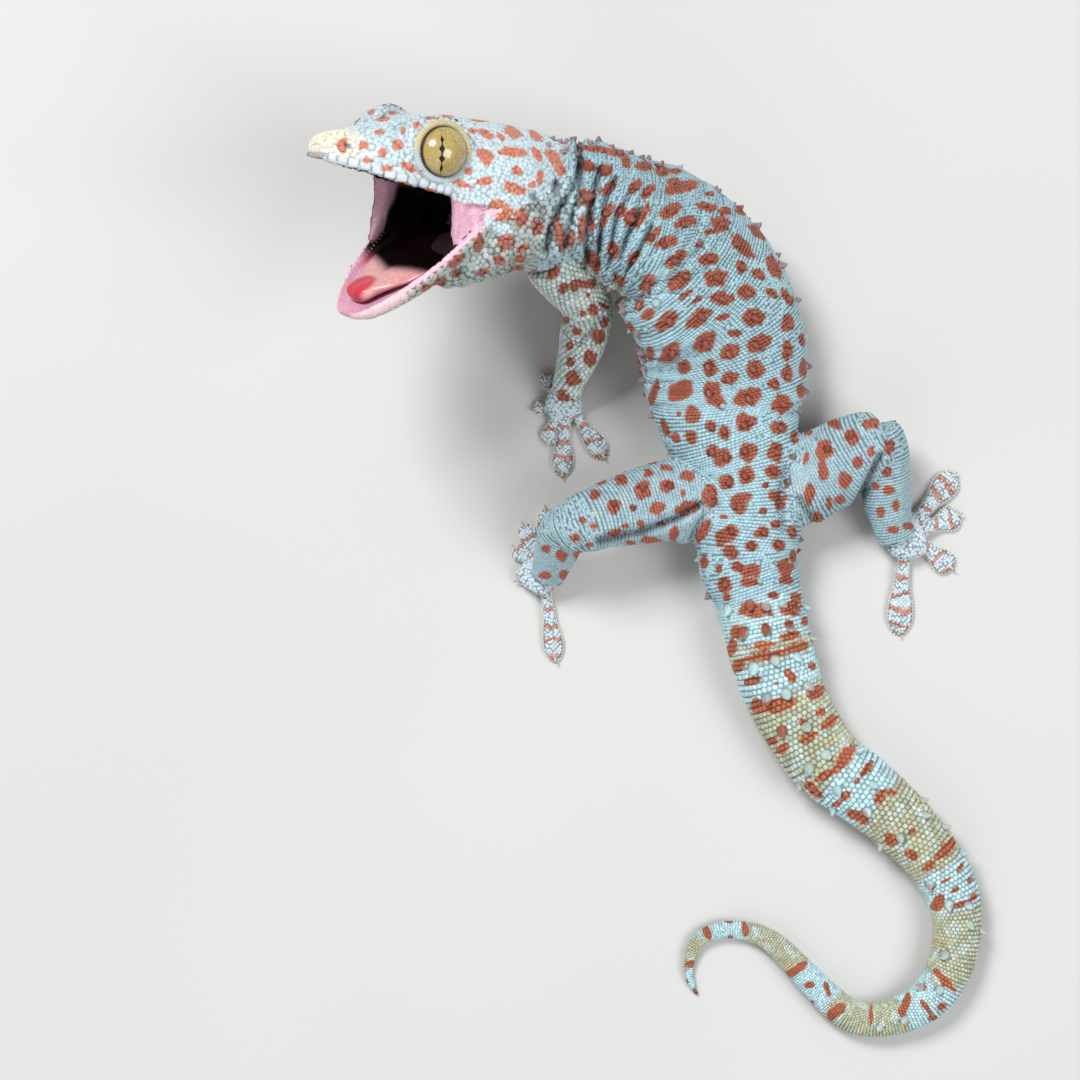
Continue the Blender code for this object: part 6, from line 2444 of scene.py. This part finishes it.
@dataclass(frozen=True)
class MoistFinish:
    """Wet flesh with fine veins and bumps.

    Args:
        name: Name of the material.
        roughness: How dull it is.
    """

    name: str
    roughness: float

    def make(self) -> bpy.types.Material:
        """Build the material.

        Returns:
            The material.
        """
        w = Wires(self.name)
        veins = w.ramp(w.noise(900.0, 5.0, 0.7), ((0.35, (0.82, 0.66, 0.68)), (0.6, (1.0, 1.0, 1.0))))
        flesh = w.attribute("markings")
        w.put("Base Color", w.mix("MULTIPLY", 0.8, flesh, veins))
        w.put("Roughness", self.roughness)
        w.put("Subsurface Weight", 0.12)
        w.put("Subsurface Scale", 0.0015)
        w.put("Specular IOR Level", w.math("MULTIPLY", flesh, 0.7, True))
        w.put("Coat Weight", w.math("MULTIPLY", flesh, 0.7, True))
        w.put("Coat Roughness", 0.2)
        w.bump(w.cells(1500.0), 0.3, 0.0001)
        return w.material


@dataclass(frozen=True)
class EyeFinish:
    """Golden olive iris with fine threads, an upright lobed slit, a painted dark ring of shade at its edge
    under the rim, and a clear glossy cover.

    Args:
        name: Name of the material.
        radius: Radius of the eyeball in mm.
    """

    name: str = "iris"
    radius: float = 5.3

    def make(self, centre: Array, basis: Array, socket: Array) -> bpy.types.Material:
        """Build the material for an eye at a place.

        Args:
            centre: Its centre in mm.
            basis: Directions across and along its slit, and of its gaze.
            socket: Direction out of its socket.

        Returns:
            The material.
        """
        w = Wires(self.name)
        place = w.node("VectorMath")
        place.operation = "SUBTRACT"
        place.inputs[1].default_value = tuple(centre * MM)
        w.tree.links.new(w.place, place.inputs[0])
        out = []
        for direction in (basis[:, 0], basis[:, 1], socket):
            dot = w.node("VectorMath")
            dot.operation = "DOT_PRODUCT"
            dot.inputs[1].default_value = tuple(direction / (self.radius * MM))
            w.tree.links.new(place.outputs[0], dot.inputs[0])
            out.append(dot.outputs["Value"])
        x, y, depth = out
        off = w.math("SQRT", w.math("ADD", w.math("MULTIPLY", x, x), w.math("MULTIPLY", y, y)))
        low = w.math("ADD", y, 0.14)
        wave = w.math("ABSOLUTE", w.math("SINE", w.math("MULTIPLY", low, 9.2)))
        lobes = w.math("POWER", wave, 3.0)
        taper = w.math("SUBTRACT", 1.0, w.math("MULTIPLY", w.math("MULTIPLY", low, low), 1.9), True)
        width = w.math("MULTIPLY", w.math("ADD", w.math("MULTIPLY", lobes, 0.080), 0.030), taper)
        jag = w.math("MULTIPLY", w.math("SUBTRACT", w.noise(2500.0, 2.0), 0.5), 0.03)
        edge = w.math("SUBTRACT", w.math("ABSOLUTE", w.math("ADD", x, jag)), width)
        slit = w.ramp(w.math("ADD", w.math("MULTIPLY", edge, 18.0), 0.5),
                      ((0.42, (0.012, 0.005, 0.004)), (0.62, (1.0, 1.0, 1.0))))
        angle = w.math("ARCTAN2", y, x)
        spread = w.node("CombineXYZ")
        w.tree.links.new(w.math("MULTIPLY", angle, 9.0), spread.inputs[0])
        w.tree.links.new(w.math("MULTIPLY", off, 3.0), spread.inputs[1])
        threads = w.noise(3.2, 6.0, 0.72, spread.outputs[0])
        gold = w.ramp(threads, ((0.30, tuple(Tone.IRIS_DEEP.light)), (0.50, tuple(Tone.IRIS_GOLD.light)),
                                (0.68, tuple(Tone.IRIS_LIGHT.light))))
        mottled = w.ramp(w.noise(1300.0, 5.0, 0.7), ((0.36, (0.72, 0.66, 0.52)), (0.6, (1.0, 1.0, 1.0))))
        gold = w.mix("MULTIPLY", 0.8, gold, mottled)
        # Painted shade: a thin dark ring where the eyeball goes under the rim
        lid_crease_shade = w.ramp(depth, ((0.49, (0.03, 0.02, 0.02)), (0.55, (0.92, 0.90, 0.86)),
                                  (0.85, (1.0, 1.0, 1.0))))
        w.put("Base Color", w.mix("MULTIPLY", 1.0, w.mix("MULTIPLY", 1.0, gold, slit), lid_crease_shade))
        w.put("Roughness", 0.22)
        w.put("Coat Weight", 0.8)
        w.put("Coat Roughness", 0.04)
        w.bump(threads, 0.12, 0.0001)
        return w.material


@dataclass(frozen=True)
class ClawFinish:
    """Horn, cream at the root and brown at the point."""

    name: str = "claw_horn"

    def make(self) -> bpy.types.Material:
        """Build the material.

        Returns:
            The material.
        """
        w = Wires(self.name)
        streaks = w.ramp(w.noise(2600.0, 4.0), ((0.3, (0.70, 0.62, 0.50)), (0.65, (1.0, 1.0, 1.0))))
        w.put("Base Color", w.mix("MULTIPLY", 0.9, w.attribute("markings"), streaks))
        w.put("Roughness", 0.3)
        w.put("Coat Weight", 0.3)
        w.bump(w.noise(2200.0), 0.2, 0.00004)
        return w.material


@dataclass(frozen=True)
class FloorFinish:
    """Pale smooth floor."""

    name: str = "pale_floor"

    def make(self) -> bpy.types.Material:
        """Build the material.

        Returns:
            The material.
        """
        w = Wires(self.name)
        tone = w.ramp(w.noise(6.0, 2.0), ((0.3, (0.52, 0.52, 0.51)), (0.7, (0.55, 0.55, 0.54))))
        w.put("Base Color", tone)
        w.put("Roughness", 0.85)
        w.bump(w.noise(700.0), 0.05, 0.0002)
        return w.material


# Pieces

@dataclass
class Eyes:
    """Both eyeballs and the fluted rims round them.

    Args:
        skull: The head's shapes.
        flutes: Number of flutes round a rim.
        radius: Radius of a rim in mm.
        tube: Half its thickness.
        lift: How far it lies over the eye's centre.
    """

    skull: Skull
    flutes: int = 56
    radius: float = 5.42
    tube: float = 0.62
    lift: float = 1.75

    def build(self, rim_finish: bpy.types.Material) -> list[bpy.types.Object]:
        """Make the eyeballs and their rims.

        Args:
            rim_finish: The rims' material.

        Returns:
            The objects.
        """
        made = []
        for side, word in ((1, "left"), (-1, "right")):
            centre, basis = self.skull.eye_place(side), self.skull.eye_basis(side)
            a = np.linspace(0.002, math.pi * 0.62, 48)
            w = turns(96)
            ball = np.stack([np.sin(a)[:, None] * np.cos(w), np.sin(a)[:, None] * np.sin(w),
                             np.cos(a)[:, None] * np.ones(96)], -1)
            wrap = Wrap("eye", Part.HEAD, centre + ball * self.skull.eye_radius @ basis.T)
            points, faces = wrap.mesh()
            finish = EyeFinish("iris_" + word).make(centre, self.skull.slit_basis(side), basis[:, 2])
            eye = new_object("eye_ball_" + word, points, outward(points, faces), finish)
            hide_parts("eye_" + word)
            made.append(eye)
            made.append(self.rim(word, centre, basis, rim_finish))
        return made

    def rim(self, word: str, centre: Array, basis: Array, finish: bpy.types.Material) -> bpy.types.Object:
        """Make the pale ring of small flutes round an eye, with painted shade in its grooves and on its inner
        face.

        Args:
            word: Which eye it belongs to.
            centre: The eye's centre in mm.
            basis: The eye's directions, as columns.
            finish: Its material.

        Returns:
            The object.
        """
        count, around = self.flutes * 6, 12
        a = np.arange(count + 1) * 2 * math.pi / count
        w = turns(around)
        flute = 1.0 + 0.035 * np.cos(a * self.flutes)
        tube = self.tube * flute[:, None] * np.ones(around)
        r = self.radius + tube * np.cos(w) * 1.25
        lift = self.lift + tube * np.sin(w)
        ring = np.stack([np.cos(a)[:, None] * r, np.sin(a)[:, None] * r, lift], -1)
        wrap = Wrap("rim", Part.HEAD, centre + ring @ basis.T)
        points, faces = wrap.mesh()
        # Painted shade in the grooves between the flutes
        groove = 0.84 + 0.16 * ramp(flute, 0.965, 1.02)
        shade = np.repeat(groove, around)
        # Painted light and shade: the ridge is lighter on its outer face and darker on the face towards the
        # head
        top = np.tile(0.62 + 0.38 * ramp(np.sin(w), -0.4, 0.5), count + 1)
        crown = basis.T @ self.skull.basis[:, 2]
        high = np.cos(a) * crown[0] + np.sin(a) * crown[1]
        above = np.repeat(ramp(high, -0.6, 0.3), around)[:, None]
        base = Tone.EYE_RIM.light * (1 - above) + Tone.EYE_CROWN.light * above
        colour = np.vstack([base * (shade * top)[:, None], base[:1], base[:1]])
        obj = new_object("eye_rim_" + word, points, outward(points, faces), finish, colour)
        return obj


def outward(points: Array, faces: Array) -> Array:
    """Turn the triangles of a closed mesh outwards.

    Args:
        points: The mesh's points.
        faces: Its triangles.

    Returns:
        The triangles, all turned the right way.
    """
    p = points[faces]
    volume = np.einsum("ij,ij->i", p[:, 0], np.cross(p[:, 1], p[:, 2])).sum()
    return faces if volume > 0 else faces[:, ::-1]


@dataclass
class Tongue:
    """The thick tongue lying in the lower jaw, with a round red tip and a root painted black as the shade
    deep in the mouth.

    Args:
        skull: The head's shapes.
        tip: Distance of the tip's middle from the jaw's joint, in mm.
        rows: Distance from the joint, half width, half height and height of each section.
    """

    skull: Skull
    tip: float = 26.4
    rows: Sequence[tuple[float, ...]] = (
        (28.8, 1.5, 0.9, 0.5), (28.4, 2.9, 1.5, 0.6), (27.4, 3.8, 1.9, 0.6), (25.6, 4.5, 1.8, 0.2),
        (23.2, 6.2, 1.4, -0.5), (20.3, 8.8, 1.3, -1.1), (16.0, 10.2, 1.3, -1.6), (12.5, 10.0, 1.4, -2.2),
        (9.0, 8.0, 1.8, -2.2), (6.0, 7.4, 1.6, -2.3))

    def build(self, finish: bpy.types.Material) -> bpy.types.Object:
        """Make the tongue.

        Args:
            finish: Its material.

        Returns:
            The object.
        """
        base = np.array(self.rows)
        rows = spline(base, np.linspace(0, len(base) - 1, 80))
        w = turns(48)
        grid = []
        for v, wide, high, z in rows:
            cleft = -0.5 * np.exp(-(np.cos(w) / 0.16) ** 2) * ramp(np.array([v]), 10, 20)[0] * (np.sin(w) > 0)
            y, h = wide * np.cos(w), z + high * np.sin(w) + cleft * 0.6
            grid.append(self.skull.jaw_world(np.column_stack([np.full(48, v), y, h])))
        wrap = Wrap("tongue", Part.JAW, np.array(grid))
        points, faces = wrap.mesh()
        near_jaw = self.skull.jaw_local(points)
        v = near_jaw[:, 0] + 0.25 * np.abs(near_jaw[:, 1])
        disc = np.hypot(near_jaw[:, 0] - self.tip, near_jaw[:, 1])
        red = (1 - ramp(disc, 3.0, 3.9))[:, None]
        colour = Tone.TONGUE.light * (1 - red) + Tone.TONGUE_TIP.light * red
        # Painted shade: the back of the tongue turns black, deep in the mouth
        deep = (1 - ramp(v, 19.0, 21.6))[:, None]
        colour = colour * (1 - deep) + Tone.TONGUE_ROOT_SHADE.light * deep
        obj = new_object("tongue_flesh", points, outward(points, faces), finish, colour)
        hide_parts("tongue")
        return obj


@dataclass
class Teeth:
    """The rows of tiny teeth inside both lips.

    Args:
        skull: The head's shapes.
        step: Distance between teeth in mm.
        length: Their length.
        thick: Half their thickness.
    """

    skull: Skull
    step: float = 0.85
    length: float = 0.42
    thick: float = 0.13

    def build(self, finish: bpy.types.Material) -> bpy.types.Object:
        """Make all teeth as one piece.

        Args:
            finish: Their material.

        Returns:
            The object.
        """
        upper, lower = np.array(self.skull.rows), np.array(self.skull.jaw_rows)[::-1]
        roots, ways = [], []
        for side in (1, -1):
            for u in np.arange(1.6, 21.0, self.step):
                w, lip = np.interp(u, upper[:, 0], upper[:, 1]), np.interp(u, upper[:, 0], upper[:, 3])
                roots.append(self.skull.world((-u, side * (w - 1.7), lip + 0.7)))
                ways.append(self.skull.basis @ np.array([0.0, -side * 0.25, -1.0]))
            for v in np.arange(12.0, 30.0, self.step):
                w = np.interp(v, lower[:, 0], lower[:, 1])
                roots.append(self.skull.jaw_world((v, side * (w - 1.6), -1.1)))
                ways.append(self.skull.jaw_world((v, side * (w - 1.8), -0.1)) - roots[-1])
        base, tris, _ = template(Form.CONE)
        ways = unit(np.array(ways))
        across = unit(np.cross(ways, self.skull.basis[:, 0]))
        axes = np.stack([across, np.cross(ways, across), ways], 1)
        tooth = base * [self.thick, self.thick, self.length]
        grown = np.einsum("nki,nij->nkj", np.tile(tooth, (len(ways), 1, 1)), axes)
        points = np.array(roots)[:, None] + grown
        faces = (tris[None] + (np.arange(len(ways)) * len(base))[:, None, None]).reshape(-1, 3)
        colour = np.tile(Tone.TOOTH.light, (points.shape[0] * points.shape[1], 1))
        obj = new_object("teeth", points.reshape(-1, 3), faces, finish, colour)
        return obj


@dataclass
class Claws:
    """The small hooked claws at the ends of the toes.

    Args:
        length: Their length in mm.
        thick: Half their thickness at the root.
        height: Height of the root over the floor.
        set_back: How far the root lies inside the toe.
        arch: How high they arch.
    """

    length: float = 1.6
    thick: float = 0.32
    height: float = 1.25
    set_back: float = 1.5
    arch: float = 0.55

    def build(self, finish: bpy.types.Material) -> bpy.types.Object:
        """Make every claw as one piece.

        Args:
            finish: Their material.

        Returns:
            The object.
        """
        points, faces, colours, start = [], [], [], 0
        for leg in LEGS:
            for root, tip, _ in leg.toes:
                a, b = at(*root, 1.6), at(*tip, 1.0)
                along = unit(b - a)
                level = unit(np.array([along[0], along[1], 0.0]))
                side = np.cross(level, [0.0, 0.0, 1.0])
                f = np.linspace(0, 1, 14)
                w = turns(12)
                base = np.array([b[0], b[1], self.height]) - level * self.set_back
                grid = []
                for t in f:
                    r = self.thick * (1 - t) ** 0.75 + 0.03
                    centre = base + level * self.length * math.sin(t * 1.35) / math.sin(1.35)
                    centre = centre + np.array([0, 0, self.arch * math.sin(t * 2.6) - self.arch * t])
                    grid.append(centre + side * (r * 0.8 * np.cos(w))[:, None]
                                + np.array([0, 0, 1.0]) * (r * 1.2 * np.sin(w))[:, None])
                p, q = Wrap("claw", Part.TOE, np.array(grid)).mesh()
                p[:, 2] = np.maximum(p[:, 2], 0.03)
                q = outward(p, q)
                points.append(p)
                faces.append(q + start)
                start += len(p)
                tip_share = ramp(np.concatenate([np.repeat(f, 12), [0.0, 1.0]])[:, None], 0.25, 0.9)
                colours.append(Tone.CLAW.light * (1 - tip_share) + Tone.CLAW_TIP.light * tip_share)
        points, faces, colours = (np.concatenate(part) for part in (points, faces, colours))
        obj = new_object("claws", points, faces, finish, colours)
        return obj


@dataclass
class Hide:
    """The skin as a piece.

    Args:
        surface: The skin.
        markings: Its colours.
    """

    surface: Surface
    markings: Markings

    def build(self, finish: bpy.types.Material) -> bpy.types.Object:
        """Make the skin's mesh with its colours, darkened with painted shade where it shows between the
        scales.

        Args:
            finish: Its material.

        Returns:
            The object.
        """
        know = self.surface.known
        colour = self.markings.colour(know, self.surface.normals[:, 2])
        # Painted shade: the skin under the scales is darkened where it shows in the gaps between them, less
        # on the head
        shade = np.where(know.inside | self.markings.bare(know), 1.0, 0.46)
        shade[(know.part == Part.HEAD) & (shade < 1)] = 0.74
        return new_object("skin", self.surface.points, self.surface.quads, finish, colour * shade[:, None])


@dataclass
class Stage:
    """Floor, lights and camera.

    Args:
        camera_place: Where the camera stands, in metres.
        lens: Its focal length in mm.
        half_floor: Half the floor's side in mm.
        lamps: Name, place, size in metres and power in watts of each light.
        room: Strength of the light from all around.
    """

    camera_place: tuple[float, float, float] = (-0.04203, -0.02218, 0.600)
    lens: float = 96.0
    half_floor: float = 1500.0
    lamps: Sequence[tuple[str, tuple[float, float, float], float, float]] = (
        ("key", (-0.42, 0.50, 0.85), 0.34, 10.5), ("fill", (0.52, -0.16, 0.72), 0.5, 5.0),
        ("low", (-0.25, -0.5, 0.35), 0.6, 1.0))
    room: float = 0.30

    def build(self) -> None:
        """Set the stage."""
        camera = bpy.data.cameras.new("camera")
        camera.lens, camera.sensor_width = self.lens, 36.0
        camera.clip_start = 0.01
        obj = link("camera", camera)
        obj.location = self.camera_place
        bpy.context.scene.camera = obj
        size = self.half_floor
        corners = np.array([(-size, -size, 0), (size, -size, 0), (size, size, 0), (-size, size, 0)], float)
        floor = new_object("floor", corners, np.array([[0, 1, 2, 3]]), FloorFinish().make())
        for lamp in self.lamps:
            self.light(*lamp)
        world = bpy.data.worlds.new("soft_room")
        world.use_nodes = True
        back = world.node_tree.nodes["Background"]
        back.inputs["Color"].default_value = (0.92, 0.95, 1.0, 1.0)
        back.inputs["Strength"].default_value = self.room
        bpy.context.scene.world = world
        bpy.context.scene.view_settings.view_transform = "Standard"

    @staticmethod
    def light(name: str, place: tuple[float, float, float], size: float, power: float) -> None:
        """Hang a soft square light that faces the model.

        Args:
            name: Its name.
            place: Where it hangs, in metres.
            size: Its side in metres.
            power: Its power in watts.
        """
        lamp = bpy.data.lights.new(name, "AREA")
        lamp.size, lamp.energy = size, power
        obj = link(name, lamp)
        obj.location = place
        aim = Vector((-0.03, -0.02, 0.015)) - Vector(place)
        obj.rotation_euler = aim.to_track_quat("-Z", "Y").to_euler()


def main() -> None:
    """Build every piece in order and report it."""
    logging.basicConfig(level=logging.INFO, format="%(message)s")
    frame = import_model()
    Stage().build()
    skull, trunk = Skull(), Trunk()
    surface = Surface(skull, trunk)
    surface.build()
    LOG.info("skin: %d points", len(surface.points))
    markings = Markings(surface)
    markings.build()
    hide_finish = HideFinish("hide", 0.62, 5200.0, 0.25, 0.14).make()
    scale_finish = HideFinish("scale_horn", 0.46, 4200.0, 0.14, 0.42).make()
    moist_finish = MoistFinish("moist_flesh", 0.25).make()
    pieces = []
    skin = Hide(surface, markings).build(hide_finish)
    flesh = [n for n in frame["nodes"] if not n.startswith(("eye_", "tongue"))]
    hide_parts(*flesh)
    pieces.append(skin)
    coat = Coat(surface, markings)
    coat.build()
    for piece in coat.pieces(scale_finish):
        pieces.append(piece)
    pieces += Eyes(skull).build(scale_finish)
    pieces.append(Tongue(skull).build(moist_finish))
    horn = ClawFinish().make()
    pieces.append(Teeth(skull).build(horn))
    pieces.append(Claws().build(horn))
    for piece in pieces:
        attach(piece, "root")
        LOG.info("piece %s: %d faces", piece.name, len(piece.data.polygons))


if __name__ == "__main__":
    main()
